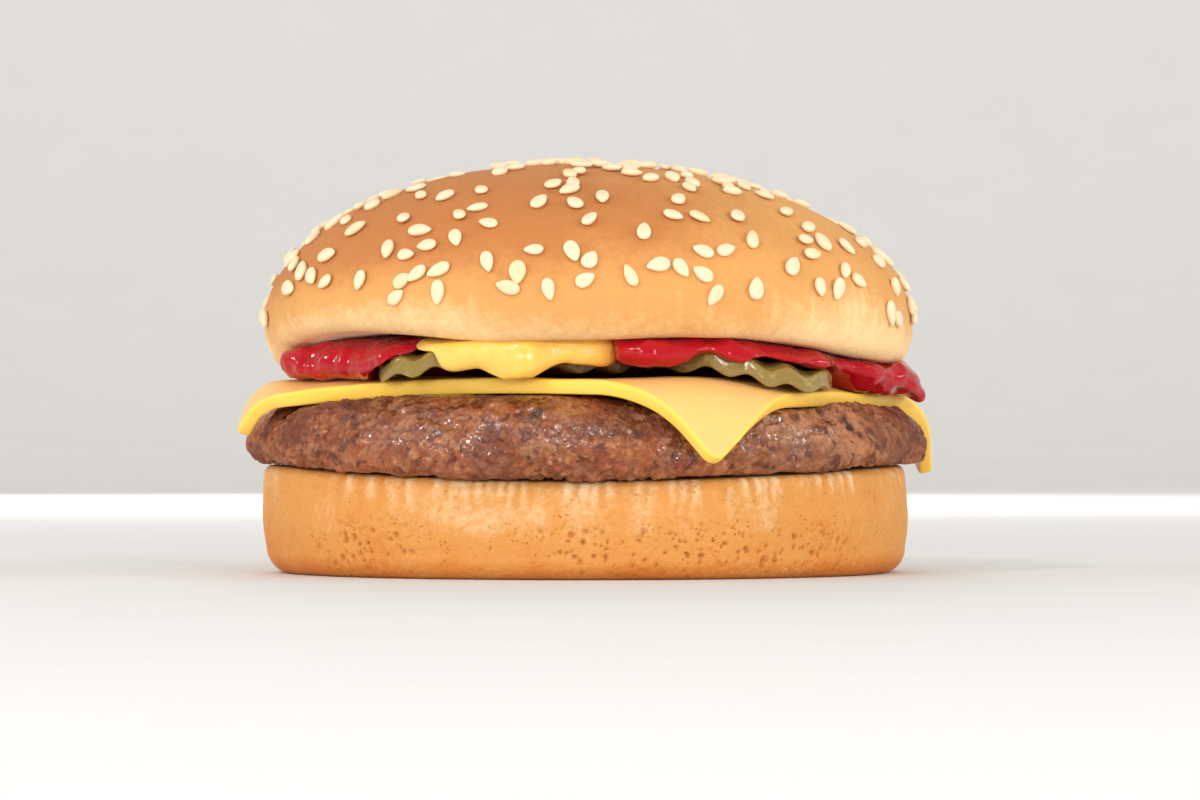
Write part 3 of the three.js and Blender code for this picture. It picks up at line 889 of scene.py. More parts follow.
def heel_mesh(settings):
    radii, heights = heel_profile()
    turn = all_round(HEEL_AROUND)
    share = heights[:, None] / HEEL.height
    wider = radii[:, None] * (1 + share * heel_uneven(turn))
    x, y = polar(wider, turn)
    rings = np.stack([x, y, share * heel_top(x, y)], axis=-1)
    normal = ring_normals(rings)
    side = np.clip(np.hypot(normal[..., 0], normal[..., 1]), 0, 1)

    below = HEEL.height - heights[:, None]  # distance under the cut face
    groove = np.zeros(x.shape)
    ridge = np.zeros(x.shape)
    for one in heel_creases(settings):
        across = angle_between(turn, one.turn) * HEEL.radius + one.slant * below
        fade = ease(1 - below / one.length) * one.depth
        groove = np.maximum(groove, bell(across, 0.7 * one.width) * fade)
        ridge = np.maximum(ridge, bell(np.abs(across) - 1.8 * one.width, one.width) * fade)

    low = ease_between(12.0, 6.0, heights)[:, None]
    region = ease_between(0.0, 0.5, soft_noise(rings, 17.0, 5))
    for middle, width in PORED:
        region = np.maximum(region, side_bell(turn, middle, width))
    pore = np.zeros(x.shape)
    for spacing, share, stream in PORES:
        nearest, _, tone = crumbs_of(rings, spacing, stream)
        pore_radius = share * settings.pore_size / MM / 2 / spacing * (0.6 + 0.6 * tone)
        holes = (tone > 0.25) * region * low * side
        pore = np.maximum(pore, holes * ease(2.0 * (1 - nearest / pore_radius)))

    folds = settings.crease_depth / MM * (groove - 0.45 * ridge) + PORE_DEPTH * pore
    relief = side * (swells(rings, HEEL_SWELLS) - folds - HEEL_SINK)

    cut = (np.arange(len(heights)) >= len(heights) - HEEL_FACE_ROWS)[:, None] * np.ones(x.shape)
    patches = soft_noise(rings, 8.0, 9)
    foot = ease_between(4.2, 0.5, heights)[:, None]
    # The ridges beside each crease are painted paler and its groove darker: painted highlight and painted shade on
    # the creases.
    pale = 0.42 * ridge - 0.20 * groove
    pale += 0.22 * ease_between(0.1, 0.7, patches) * ease_between(4, 9, heights)[:, None]
    middle = side_bell(turn, -97, 24) * bell(heights - 11, 8)[:, None]
    bake = 0.54 + 0.14 * patches - pale - 0.14 * middle + 0.24 * foot + 0.06 * low
    masks = {"bake": np.clip(bake, 0, 1), "pore": pore, "cut": cut}
    return skin_object("heel", rings + normal * relief[..., None], masks)


def heel_material(settings):
    surface, crust = crust_surface("heel_crust", settings, 0.75, 0.22)
    pinholes = (1.0 - surface.spots(1500.0).remap(0.10, 0.26)) * surface.noise(260.0, 2.0).remap(0.5, 0.68)
    # The pores and pinholes are painted darker: painted shade in them.
    darker = surface.math("MAXIMUM", surface.mask("pore"), pinholes * 0.6)
    colour = surface.mix(darker * 0.8, crust["Color"], PORE_COLOUR)
    surface.set("Base Color", surface.mix(surface.mask("cut"), colour, settings.crumb))
    surface.set("Roughness", crust["Grain"].remap(0.2, 0.8, 0.5, 0.68))
    surface.bump(crust["Grain"] - pinholes * 0.9, 0.00035)
    return surface.material


class BURGER_OT_heel(bpy.types.Operator):
    """Makes the bottom bun, creased under the patty and pored towards its foot."""

    bl_idname = "burger.heel"
    bl_label = "Make Bottom Bun"

    def execute(self, context):
        settings = context.scene.burger_heel
        finish_piece(heel_mesh(settings), heel_material(settings), "bottom_bun")
        return {"FINISHED"}


# ---- Patty ----


class BurgerPattySettings(bpy.types.PropertyGroup):
    """Sizes and colours of the patty."""

    crumb_size: length_prop("Mince Size", "Width of the lumps of mince", 2.2)
    crumb_depth: length_prop("Mince Depth", "Depth of the clefts between the lumps", 0.6)
    meat: colour_prop("Meat", "Main colour of the grilled side", (0.335, 0.083, 0.021))
    pale: colour_prop("Pale Meat", "Paler, less seared lumps", (0.54, 0.22, 0.09))
    # This colour is also painted into the clefts between the lumps, as painted shade in them.
    dark: colour_prop("Seared Meat", "Darkest browned meat", (0.10, 0.018, 0.007))
    # This colour is also painted into many of the pits, as painted shade in them.
    char: colour_prop("Char", "Burnt spots", (0.018, 0.012, 0.010))


PATTY_AROUND = 940
# Burnt spots, by direction in degrees, level, and radius in millimetres.
CHAR_SPOTS = ((-39, 0.3, 1.3), (-37.5, 0.0, 0.6), (-98.5, 0.55, 1.0), (-110, 0.5, 0.5),
              (12, 0.2, 1.2), (47, 0.4, 0.8), (84, -0.1, 0.9), (118, 0.3, 1.3), (151, 0.5, 0.7), (176, 0.0, 1.0))
# Stretches where fat has run and shines: direction, half-width in degrees, level and half-height.
GREASE = ((-116, 15, 0.3, 0.7), (-99, 8, 0.5, 0.5), (-91, 9, 0.1, 0.4), (-57, 14, 0.2, 0.7), (-73, 5, -0.2, 0.4),
          (20, 25, 0.3, 0.8), (80, 25, 0.2, 0.8), (150, 25, 0.3, 0.8))
PALER_SIDE = (-47, 15, 0.35)  # a side that is less seared: direction, half-width in degrees, and how much
GREYER_MEAT = (0.39, 0.175, 0.08)
FAT = (0.66, 0.44, 0.30)
# Holes in the meat: how far apart, the share of places without one, their radius as a share of that, and their depth.
PITS = SimpleNamespace(apart=2.1, without=0.66, radius=0.26, depth=0.6)
LEVEL_HEIGHT = 5  # millimetres for a level of 1


def patty_grease(turn, level, rings):
    """Where the patty's side shines, from 0 to 1."""
    grease = np.zeros(level.shape)
    for direction, width, height, reach in GREASE:
        grease = np.maximum(grease, side_bell(turn, direction, width) * bell(level - height, reach))
    return np.clip(grease * (1.0 + 0.8 * soft_noise(rings, 2.4, 66)), 0, 1)


def patty_mesh(settings):
    shares, levels = patty_profile()
    turn = all_round(PATTY_AROUND)
    spread = PATTY.radius * patty_reach(turn) * shares[:, None]
    x = PATTY.centre[0] + spread * np.cos(turn)
    y = PATTY.centre[1] + spread * np.sin(turn)
    bed = heel_top(x, y) + GAP
    level = levels[:, None] * np.ones_like(turn)
    z = bed + (cheese_bed(x, y) - GAP - bed) * (level + 1) / 2
    rings = np.stack([x, y, z], axis=-1)
    rim = ease_between(PATTY.lumps_from, PATTY.lumps_full, shares)[:, None]
    coarse = PATTY.lump * rim * soft_noise(rings, PATTY.lump_size, 0, lattice_value)
    rings = rings + np.stack([*polar(coarse, turn), coarse / 2], axis=-1)
    normal = ring_normals(rings)

    warp = 0.8 * np.stack([rough_noise(rings, 2.6, 60 + 5 * axis, 2) for axis in range(3)], axis=-1)
    size = settings.crumb_size / MM
    big, big_second, tone = crumbs_of(rings + warp, size, 11)
    small, small_second, small_tone = crumbs_of(rings + 0.6 * warp, 0.5 * size, 23)
    cleft = ease_between(0.32, 0.0, big_second - big)
    nick = ease_between(0.28, 0.0, small_second - small)
    depth = settings.crumb_depth / MM
    stretched = rings * np.array([1.0, 1.0, 1.6])
    open_meat = 1 - 0.85 * ease_between(-0.3, 0.35, soft_noise(stretched, 8.0, 77))  # where the mince is broken up
    relief = -depth * open_meat * (0.6 * cleft + 0.2 * big**2 + 0.3 * nick + 0.1 * small**2)
    relief += 0.6 * rough_noise(rings, 5.0, 41, 4) + 0.26 * rough_noise(rings, 1.5, 45, 3)
    grease = patty_grease(turn, level, rings)
    relief += 0.4 * grease * soft_noise(rings, 1.0, 97)
    pit, _, pit_tone = crumbs_of(rings + 0.3 * warp, PITS.apart, 51)
    hole = (pit_tone > PITS.without) * ease(1.5 * (1 - pit / PITS.radius))
    relief -= PITS.depth * hole

    sear = ease_between(-0.25, 0.6, soft_noise(stretched, 7.0, 71))
    char = np.zeros(level.shape)
    wobble = 1.3 * rough_noise(rings, 1.1, 88, 3)
    for direction, height, radius in CHAR_SPOTS:
        across = angle_between(turn, degrees(direction)) * PATTY.radius
        spot = np.hypot(across, LEVEL_HEIGHT * (level - height)).argmin()
        away = np.linalg.norm(rings - rings.reshape(-1, 3)[spot], axis=-1) / radius + wobble
        char = np.maximum(char, 0.9 * ease_between(1.1, 0.6, away))
        sear = np.maximum(sear, ease_between(2.4, 1.0, away))

    middle, width, amount = PALER_SIDE
    paler = amount * side_bell(turn, middle, width)
    masks = {
        "tone": np.clip(0.25 * tone + 0.20 * small_tone + 0.30 + paler, 0, 1),
        # The clefts are painted darker in the material: painted shade in them.
        "cleft": np.clip(open_meat * np.maximum(cleft, 0.6 * nick), 0, 1),
        "sear": sear * (1 - paler),
        # Many of the pits are painted as dark as the burnt spots: painted shade in them.
        "char": np.maximum(char, 0.75 * hole * (pit_tone > 0.8)),
        "grease": grease,
    }
    return skin_object("patty", patty_between(rings + normal * (relief * rim)[..., None]), masks)


def patty_material(settings):
    surface = Surface(
        "grilled_beef", Specular_IOR_Level=0.5, Coat_Roughness=0.08, Coat_IOR=1.75,
        Subsurface_Weight=0.08, Subsurface_Scale=0.0015, Subsurface_Radius=(1.0, 0.35, 0.2),
    )
    fibres = surface.noise(700.0, 5.0, 0.65, 0.6)
    flecks = surface.noise(1900.0, 3.0, 0.6)
    grease = surface.mask("grease")
    tone = (surface.mask("tone") + (fibres - 0.5) * 1.6).clamped()
    colour = surface.mix(tone.remap(0.35, 0.95), settings.meat, settings.pale)
    seared = (surface.mask("sear") * 0.55 + flecks.remap(0.56, 0.72, 0.0, 0.35)).clamped()
    blotches = surface.noise(360.0, 4.0, 0.6, 0.6).remap(0.52, 0.64, 0.0, 0.9)
    # Seared meat, painted shade in the clefts, and dark blotches are each mixed towards the darkest colour.
    for share in (seared, surface.mask("cleft") * 0.55, blotches):
        colour = surface.mix(share, colour, settings.dark)
    colour = surface.mix(surface.noise(290.0, 4.0, 0.6, 0.6).remap(0.54, 0.68, 0.0, 0.6), colour, GREYER_MEAT)
    fatty = surface.spots(420.0).remap(0.2, 0.1) * surface.noise(130.0, 2.0).remap(0.5, 0.62)
    colour = surface.mix(fatty * 0.55, colour, FAT)
    surface.set("Base Color", surface.mix(surface.mask("char"), colour, settings.char))
    film = surface.film(grease * 0.6 + 0.32, 0.62, 0.16, 1000.0)
    surface.set("Coat Weight", film["Film"] * grease)
    height = (fibres + flecks * 0.5) * (1.0 - grease * 0.75)
    surface.bump(height + film["Beads"] * (grease * 1.8), 0.0007)
    return surface.material


class BURGER_OT_patty(bpy.types.Operator):
    """Makes the grilled patty, with its lumps of mince, clefts, burnt spots and shining fat."""

    bl_idname = "burger.patty"
    bl_label = "Make Patty"

    def execute(self, context):
        settings = context.scene.burger_patty
        finish_piece(patty_mesh(settings), patty_material(settings), "patty")
        return {"FINISHED"}


# ---- Cheese ----


class BurgerCheeseSettings(bpy.types.PropertyGroup):
    """Sizes and colours of the cheese slice."""

    wave: length_prop("Wave", "How far the slice's face waves", 0.22)
    face: colour_prop("Face", "Colour of the slice's faces", (0.97, 0.53, 0.18))
    edge: colour_prop("Edge", "Deeper colour of the cut edge", (1.0, 0.63, 0.085))


CHEESE_GRID = 150
CHEESE_EDGE_ROWS = 12
CHEESE_ROUNDING = 0.22  # of the cut edge, as a share of the thickness


def cheese_mesh(settings):
    half = CHEESE.side / 2
    rounding = CHEESE.thickness * CHEESE_ROUNDING
    inner = half - rounding
    line = np.linspace(-inner, inner, CHEESE_GRID + 1)
    u, v = np.meshgrid(line, line, indexing="ij")
    square = np.stack([u.ravel(), v.ravel()], axis=-1)
    square = round_square(inner, CHEESE.corner - rounding, square)
    count = CHEESE_GRID + 1
    index = np.arange(count * count).reshape(count, count)
    border = np.concatenate([index[:-1, 0], index[-1, :-1], index[:0:-1, -1], index[0, :0:-1]])
    rim = square[border]
    ahead = np.roll(rim, -1, axis=0) - np.roll(rim, 1, axis=0)
    outward = np.column_stack([ahead[:, 1], -ahead[:, 0]])
    outward /= np.linalg.norm(outward, axis=1, keepdims=True)

    def placed(flat):
        return np.column_stack(rotated(flat[:, 0], flat[:, 1], CHEESE.turn)) + CHEESE.centre

    def wave(flat):
        wide = np.column_stack([flat, np.zeros(len(flat))])
        thinner = 0.3 * ease_between(48, 56, np.linalg.norm(flat - CHEESE.centre, axis=1))  # at the corners
        return settings.wave / MM * (soft_noise(wide, 13.0, 4) - 0.4) + 0.05 * soft_noise(wide, 4.0, 5) - thinner

    thick = CHEESE.thickness
    grid = placed(square)
    top = cheese_points(grid, thick + wave(grid))
    under = cheese_points(grid, np.zeros(len(grid)))
    rows = [index.ravel()[border]]
    points = [top, under]
    edges = [np.zeros(len(top)), np.zeros(len(under))]
    made = len(top) + len(under)
    for step in range(1, CHEESE_EDGE_ROWS):
        angle = math.pi / 2 - math.pi * step / CHEESE_EDGE_ROWS
        out = rounding * math.cos(angle) ** 0.6
        flat = placed(rim + outward * out)
        lift = thick / 2 * (1 + math.copysign(abs(math.sin(angle)) ** 0.6, angle))
        level = np.full(len(flat), lift)
        points.append(cheese_points(flat, level + wave(flat) * lift / thick))
        edges.append(np.full(len(flat), 1.0))
        rows.append(made + np.arange(len(border)))
        made += len(border)
    rows.append(len(top) + border)
    quads = [np.stack([index[:-1, :-1], index[1:, :-1], index[1:, 1:], index[:-1, 1:]], axis=-1).reshape(-1, 4)]
    quads.append(quads[0][:, ::-1] + len(top))
    for upper, lower in zip(rows, rows[1:]):
        quads.append(np.stack([upper, lower, np.roll(lower, -1), np.roll(upper, -1)], axis=-1))
    masks = {"edge": np.concatenate(edges)}
    return mesh_object("cheese_slice", np.concatenate(points), np.concatenate(quads), masks=masks)


def cheese_material(settings):
    surface = Surface(
        "cheese", Specular_IOR_Level=0.3, Subsurface_Weight=0.15, Subsurface_Scale=0.003,
        Subsurface_Radius=(1.0, 0.55, 0.08),
    )
    share = (surface.mask("edge") * 0.8 + surface.noise(160.0, 3.0).remap(0.4, 0.75, 0.0, 0.25)).clamped()
    surface.set("Base Color", surface.mix(share, settings.face, settings.edge))
    surface.film(0.45, 0.42, 0.28, 260.0)
    surface.bump(surface.noise(420.0, 3.0), 0.00012)
    return surface.material


class BURGER_OT_cheese(bpy.types.Operator):
    """Makes the slice of cheese, with rounded cut edges, hanging over the patty at its corners."""

    bl_idname = "burger.cheese"
    bl_label = "Make Cheese"

    def execute(self, context):
        settings = context.scene.burger_cheese
        finish_piece(cheese_mesh(settings), cheese_material(settings), "cheese")
        return {"FINISHED"}


# ---- Pickles ----


class BurgerPickleSettings(bpy.types.PropertyGroup):
    """Sizes and colours of the pickle slices."""

    edge_radius: length_prop("Edge Radius", "How much the slices' edges are rounded", 0.5)
    swell: length_prop("Swell", "How far the wet flesh swells past each cut face", 0.25)
    flesh: colour_prop("Flesh", "Colour of the cut faces", (0.30, 0.19, 0.045))
    rind: colour_prop("Rind", "Darker colour of the rind", (0.24, 0.16, 0.030))


PICKLE_AROUND = 260
PICKLE_RINGS = 46
PICKLE_EDGE_ROWS = 15
PICKLE_STREAKS = (0.50, 0.38, 0.11)


def pickle_points(name, settings):
    """Rings of one slice in their place, and its masks."""
    one = PICKLES[name]
    stream = sum(map(ord, name))
    rounding = settings.edge_radius / MM
    half = PICKLE.thickness / 2 + settings.swell / MM
    inside = np.linspace(0, 1, PICKLE_RINGS) * (one.radius - rounding)
    angle = np.linspace(-math.pi / 2, math.pi / 2, PICKLE_EDGE_ROWS + 2)[1:-1]
    radii = np.concatenate([inside, one.radius - rounding + rounding * np.cos(angle), inside[::-1]])
    lifts = np.concatenate([
        inside * 0 - half,
        np.sign(angle) * (half - rounding) + rounding * np.sin(angle),
        inside * 0 + half,
    ])
    turn = all_round(PICKLE_AROUND)
    uneven = 0.98 + 0.012 * np.sin(3 * turn + stream) + 0.008 * np.sin(5 * turn)
    x, y = radii[:, None] * np.cos(turn) * uneven, radii[:, None] * np.sin(turn) * uneven
    crinkle = PICKLE.wave * np.cos(2 * math.pi * x / PICKLE.pitch)
    rings = np.stack([x, y, crinkle + lifts[:, None]], axis=-1)
    rings[..., 2] += 0.10 * soft_noise(rings, 2.6, stream) * np.sign(lifts)[:, None]
    right, back = rotated(x, y, one.turn)
    rings[..., 0], rings[..., 1] = one.x + right, one.y + back
    rings[..., 2] += cheese_top(rings[..., 0], rings[..., 1]) + slice_lift(one, x)
    near_rim = ease_between(0.80, 0.97, radii / one.radius)[:, None] * np.ones_like(turn)
    return rings, {"rind": near_rim}


def pickle_material(settings):
    surface = Surface(
        "pickle", Specular_IOR_Level=0.5, Coat_Roughness=0.1, Coat_Weight=0.25,
        Subsurface_Weight=0.25, Subsurface_Scale=0.002, Subsurface_Radius=(0.8, 1.0, 0.25),
    )
    streaks = surface.noise(420.0, 4.0, 0.6, 0.8)
    rind = surface.mask("rind") * streaks.remap(0.3, 0.7, 0.35, 1.0)
    colour = surface.mix(rind, settings.flesh, settings.rind)
    surface.set("Base Color", surface.mix(streaks.remap(0.5, 0.75, 0.0, 0.5), colour, PICKLE_STREAKS))
    film = surface.film(0.6, 0.4, 0.14, 700.0)
    surface.bump(streaks + film["Beads"], 0.0002)
    return surface.material


class BURGER_OT_pickles(bpy.types.Operator):
    """Makes the three crinkle-cut pickle slices."""

    bl_idname = "burger.pickles"
    bl_label = "Make Pickles"

    def execute(self, context):
        settings = context.scene.burger_pickle
        material = pickle_material(settings)
        for name in PICKLES:
            rings, masks = pickle_points(name, settings)
            finish_piece(skin_object(name + "_slice", rings, masks), material, name)
        return {"FINISHED"}


# ---- Sauces ----


class BurgerSauceSettings(bpy.types.PropertyGroup):
    """Sizes and colours of the ketchup and the mustard."""

    ketchup_lump: length_prop("Ketchup Lumps", "Relief of the ketchup's beads", 0.5)
    ketchup_bead: length_prop("Ketchup Beads", "Width of the ketchup's smallest beads", 1.5)
    mustard_lump: length_prop("Mustard Lumps", "Relief of the mustard's folds", 0.30)
    mustard_bead: length_prop("Mustard Beads", "Width of the mustard's smallest folds", 3.4)
    ketchup: colour_prop("Ketchup", "Colour of the ketchup", (0.40, 0.003, 0.010))
    mustard: colour_prop("Mustard", "Colour of the mustard", (0.91, 0.53, 0.11))


KETCHUP_AROUND = 900
MUSTARD_AROUND = 420
LIP_ROWS = 37
DARKER_KETCHUP = (0.38, 0.003, 0.008)
DEEPER_MUSTARD = (0.95, 0.58, 0.02)


def sauce_rings(sauce, around, lump, bead, stream):
    """Rings of a sauce that fills the space under the crown and hangs down in lobes at its outline, with a relief of
    soft beads at its rim."""
    inside = np.concatenate([np.linspace(0, 0.6, 7), np.linspace(0.62, 0.89, 22)])
    sines = np.sin(np.linspace(-math.pi / 2, math.pi / 2, LIP_ROWS))
    rounded = np.sqrt(1 - np.abs(sines) ** 2.2)
    shares = np.concatenate([inside, SAUCE.rim + (1 - SAUCE.rim) * rounded, inside[::-1]])
    levels = np.concatenate([inside * 0, (1 + sines) / 2, inside * 0 + 1])[:, None]
    turn = all_round(around)
    reach = sauce.reach + lobe_sum(sauce.lobes, turn)
    for one in sauce.notches:
        apart = np.abs(angle_between(turn, one.turn))
        reach = reach - one.size * ease_between(one.width, 0.85 * one.width, apart)
    outline = np.stack([*polar(reach, turn), 0 * turn], axis=-1)
    reach = reach + sauce.sway * soft_noise(outline, 5.0, stream + 1)
    x = sauce.centre[0] + shares[:, None] * reach * np.cos(turn)
    y = sauce.centre[1] + shares[:, None] * reach * np.sin(turn)
    top = np.minimum(crown_floor(x, y) + SAUCE.touch, cheese_top(x, y) + GAP + SAUCE.thickest)
    fall = lobe_sum(sauce.lobes, turn, "fall") + sauce.sway * soft_noise(outline, 3.6, stream + 2)
    hang = sauce.film + fall * ease_between(SAUCE.hang_from, SAUCE.hang_full, shares)[:, None]
    hang = hang + sauce.filling * ease_between(*SAUCE.filled, shares)[:, None]
    sunk = SAUCE.sink * ease_between(*SAUCE.sunk, shares)[:, None]
    bottom = np.minimum(np.maximum(top - hang, filling_floor(x, y)), top - GAP) - sunk
    rings = np.stack([x, y, bottom + (top - bottom) * levels], axis=-1)
    normal = ring_normals(rings)
    edge = np.concatenate([inside * 0, 1 - sines**8, inside * 0])[:, None]
    relief = soft_noise(rings, 2 * bead, stream) + 0.5 * soft_noise(rings, bead, stream + 5) - 0.2
    rings = rings + normal * (lump * edge * relief)[..., None]
    x, y, z = np.moveaxis(rings, -1, 0)
    z = np.maximum(np.minimum(z, crown_floor(x, y) + SAUCE.touch), cheese_top(x, y) + SAUCE.touch / 2 - sunk)
    return np.stack([x, y, z], axis=-1)


def ketchup_material(settings):
    surface = Surface(
        "ketchup", Specular_IOR_Level=0.15, IOR=1.4, Coat_Weight=0.5, Coat_Roughness=0.06, Coat_IOR=1.5,
        Subsurface_Weight=0.25, Subsurface_Scale=0.003, Subsurface_Radius=(1.0, 0.06, 0.04),
    )
    pulp = surface.noise(600.0, 4.0, 0.6).remap(0.4, 0.8, 0.0, 0.6)
    surface.set("Base Color", surface.mix(pulp, settings.ketchup, DARKER_KETCHUP))
    surface.film(0.7, 0.2, 0.1, 600.0)
    surface.bump(surface.noise(620.0, 0.0), 0.0002)
    return surface.material


def mustard_material(settings):
    surface = Surface(
        "mustard", Specular_IOR_Level=0.45, Subsurface_Weight=0.3, Subsurface_Scale=0.003,
        Subsurface_Radius=(1.0, 0.6, 0.08),
    )
    swirl = surface.noise(330.0, 4.0, 0.55, 1.2)
    share = swirl.remap(0.4, 0.8, 0.0, 0.6)
    surface.set("Base Color", surface.mix(share, settings.mustard, DEEPER_MUSTARD))
    film = surface.film(0.5, 0.4, 0.2, 420.0)
    surface.bump(swirl + film["Beads"], 0.0002)
    return surface.material


class BURGER_OT_sauces(bpy.types.Operator):
    """Makes the ketchup and the mustard that hang out from under the top bun."""

    bl_idname = "burger.sauces"
    bl_label = "Make Sauces"

    def execute(self, context):
        settings = context.scene.burger_sauce
        for name, sauce, around, stream, material in (
            ("ketchup", KETCHUP, KETCHUP_AROUND, 15, ketchup_material(settings)),
            ("mustard", MUSTARD, MUSTARD_AROUND, 25, mustard_material(settings)),
        ):
            lump, bead = getattr(settings, name + "_lump") / MM, getattr(settings, name + "_bead") / MM
            rings = sauce_rings(sauce, around, lump, bead, stream)
            finish_piece(skin_object(name + "_spread", rings), material, name)
        return {"FINISHED"}


# ---- Crown and sesame seeds ----


class BurgerCrownSettings(bpy.types.PropertyGroup):
    """Sizes and colours of the top bun and its seeds."""

    dimple: length_prop("Seed Dimples", "How deep the crust is pressed in round the seeds", 0.16)
    stretch: length_prop("Stretch Lines", "Depth of the fine upright lines low on the crust", 0.13)
    cream: colour_prop("Cream", "Crust near the rim", (0.95, 0.66, 0.33))
    golden: colour_prop("Golden", "Crust half way up", (0.70, 0.34, 0.105))
    brown: colour_prop("Brown", "Crust at the top", (0.53, 0.20, 0.06))
    crumb: colour_prop("Crumb", "Soft inside of the cut face", (0.90, 0.78, 0.56))
    seed: colour_prop("Seed", "Colour of the sesame seeds", (0.86, 0.69, 0.46))
    seed_middle: colour_prop("Seed Middle", "Greyer middle of a seed", (0.72, 0.55, 0.40))


CROWN_AROUND = 620
BAKED = ((0, 0.0), (0.15, 0.30), (0.30, 0.54), (0.5, 0.66), (0.9, 0.66), (1, 0.68))  # share of the height, and bake
DARK_SIDE = degrees(-140)  # direction of the side that is darkest: partly baked darker, partly painted shade
BAKED_LIP = 0.30  # how much more the lip is baked in front, where it stands out of the sauces
CROWN_SWELLS = ((0.22, 17.0, 1), (0.07, 6.0, 2), (0.02, 2.2, 3))
CROWN_SINK = 0.12  # how far the crust lies inside the solid's
STRETCH_SEED = 58
STRETCH_LINES = 70
NEAR_SEED = 0.09  # as an angle up, how far from a seed the crust is pressed in
DIMPLE_WIDTH = 1.9
FACE_ROWS = 16
SKIRT_ROWS = 26
DOME_ROWS = 84
SEED_AROUND = 18
SEED_RINGS = 11
SEED_SEED = 771
SEED_SHARE = 0.93  # of a coarse seed's size, so that the fine one stays inside it
SEED_LIFT = 0.02
TOASTED = (0.86, 0.58, 0.28)


def crown_rings():
    """Rings of the crown in its own frame, and the angle up of each, from -90 degrees on the cut face."""
    turn = all_round(CROWN_AROUND)
    shares = np.sqrt(np.linspace(0, 1, FACE_ROWS + 1))[:-1, None]
    rim = CROWN.rim_radius * crown_uneven(turn) * shares
    x, y = polar(rim, turn)
    face = np.stack([x, y, crown_under(x, y)], axis=-1)
    skirt = np.linspace(-math.pi / 2, 0, SKIRT_ROWS + 1)[:-1]
    dome = np.linspace(0, math.pi / 2, DOME_ROWS + 1)
    ups = np.concatenate([skirt, dome])[:, None]
    skin = crown_skin(turn + 0 * ups, ups + 0 * turn)
    rows = np.concatenate([np.full(FACE_ROWS, -math.pi / 2), ups[:, 0]])
    return np.concatenate([face, skin]), rows, turn


def crown_mesh(settings, places):
    rings, ups, turn = crown_rings()
    normal = ring_normals(rings)
    normal[0], normal[-1] = (0, 0, -1), (0, 0, 1)
    shape = rings.shape[:2]
    skin = (np.arange(shape[0]) >= FACE_ROWS)[:, None] * np.ones(shape)
    height = rings[..., 2]
    patches = rough_noise(rings, 14.0, 7)

    relief = swells(rings, CROWN_SWELLS) - CROWN_SINK
    press = np.zeros(shape)
    for place in places:
        rows = np.abs(ups - place.up) < NEAR_SEED
        near = np.linalg.norm(rings[rows] - place.at, axis=-1)
        press[rows] = np.maximum(press[rows], bell(near, DIMPLE_WIDTH * place.size))
    draw = np.random.default_rng(STRETCH_SEED)
    lines = np.zeros(shape)
    for _ in range(STRETCH_LINES):
        at, width = draw.uniform(-math.pi, math.pi), draw.uniform(0.3, 0.6)
        low, high = draw.uniform(0.5, 5), draw.uniform(8, 16)
        depth, slant = draw.uniform(0.3, 1), draw.normal(0, 0.05)
        across = angle_between(turn, at) * CROWN.radius + slant * height
        reach = ease_between(low, low + 2, height) * ease_between(high, high - 4, height)
        lines = np.maximum(lines, bell(across, width) * reach * depth)
    relief -= settings.dimple / MM * press + settings.stretch / MM * lines
    rings = rings + normal * (relief * skin)[..., None]

    rise = height / (CROWN.skirt + CROWN.dome)
    # How far a place lies towards the darker side: 0 at the apex, 1 at the widest ring.
    sideways = rotated(rings[..., 0], rings[..., 1], -DARK_SIDE)[0] / CROWN.radius
    bake = np.interp(rise + 0.04 * patches, *zip(*BAKED))
    # Darker towards that side and a little lighter on the other: partly a real bake, partly painted shade and painted
    # light.
    bake += 0.65 * np.maximum(sideways, -0.1) * ease_between(0.1, 0.7, rise)
    bake += BAKED_LIP * side_bell(turn, -85, 26) * ease_between(0.35, 0.05, rise)
    # The crust in the dimples round the seeds is baked darker: painted shade round the seeds.
    bake += 0.09 * patches + 0.08 * press * ease_between(0.3, 0.6, rise) - 0.10 * lines
    return skin_object("crown", crown_in_place(rings), {"bake": np.clip(bake, 0, 1), "cut": 1 - skin})


def crown_material(settings):
    surface, crust = crust_surface("crown_crust", settings, 0.42, 0.15)
    surface.set("Base Color", surface.mix(surface.mask("cut"), crust["Color"], settings.crumb))
    surface.set("Roughness", crust["Grain"].remap(0.2, 0.8, 0.54, 0.72))
    surface.bump(crust["Grain"], 0.0003)
    return surface.material


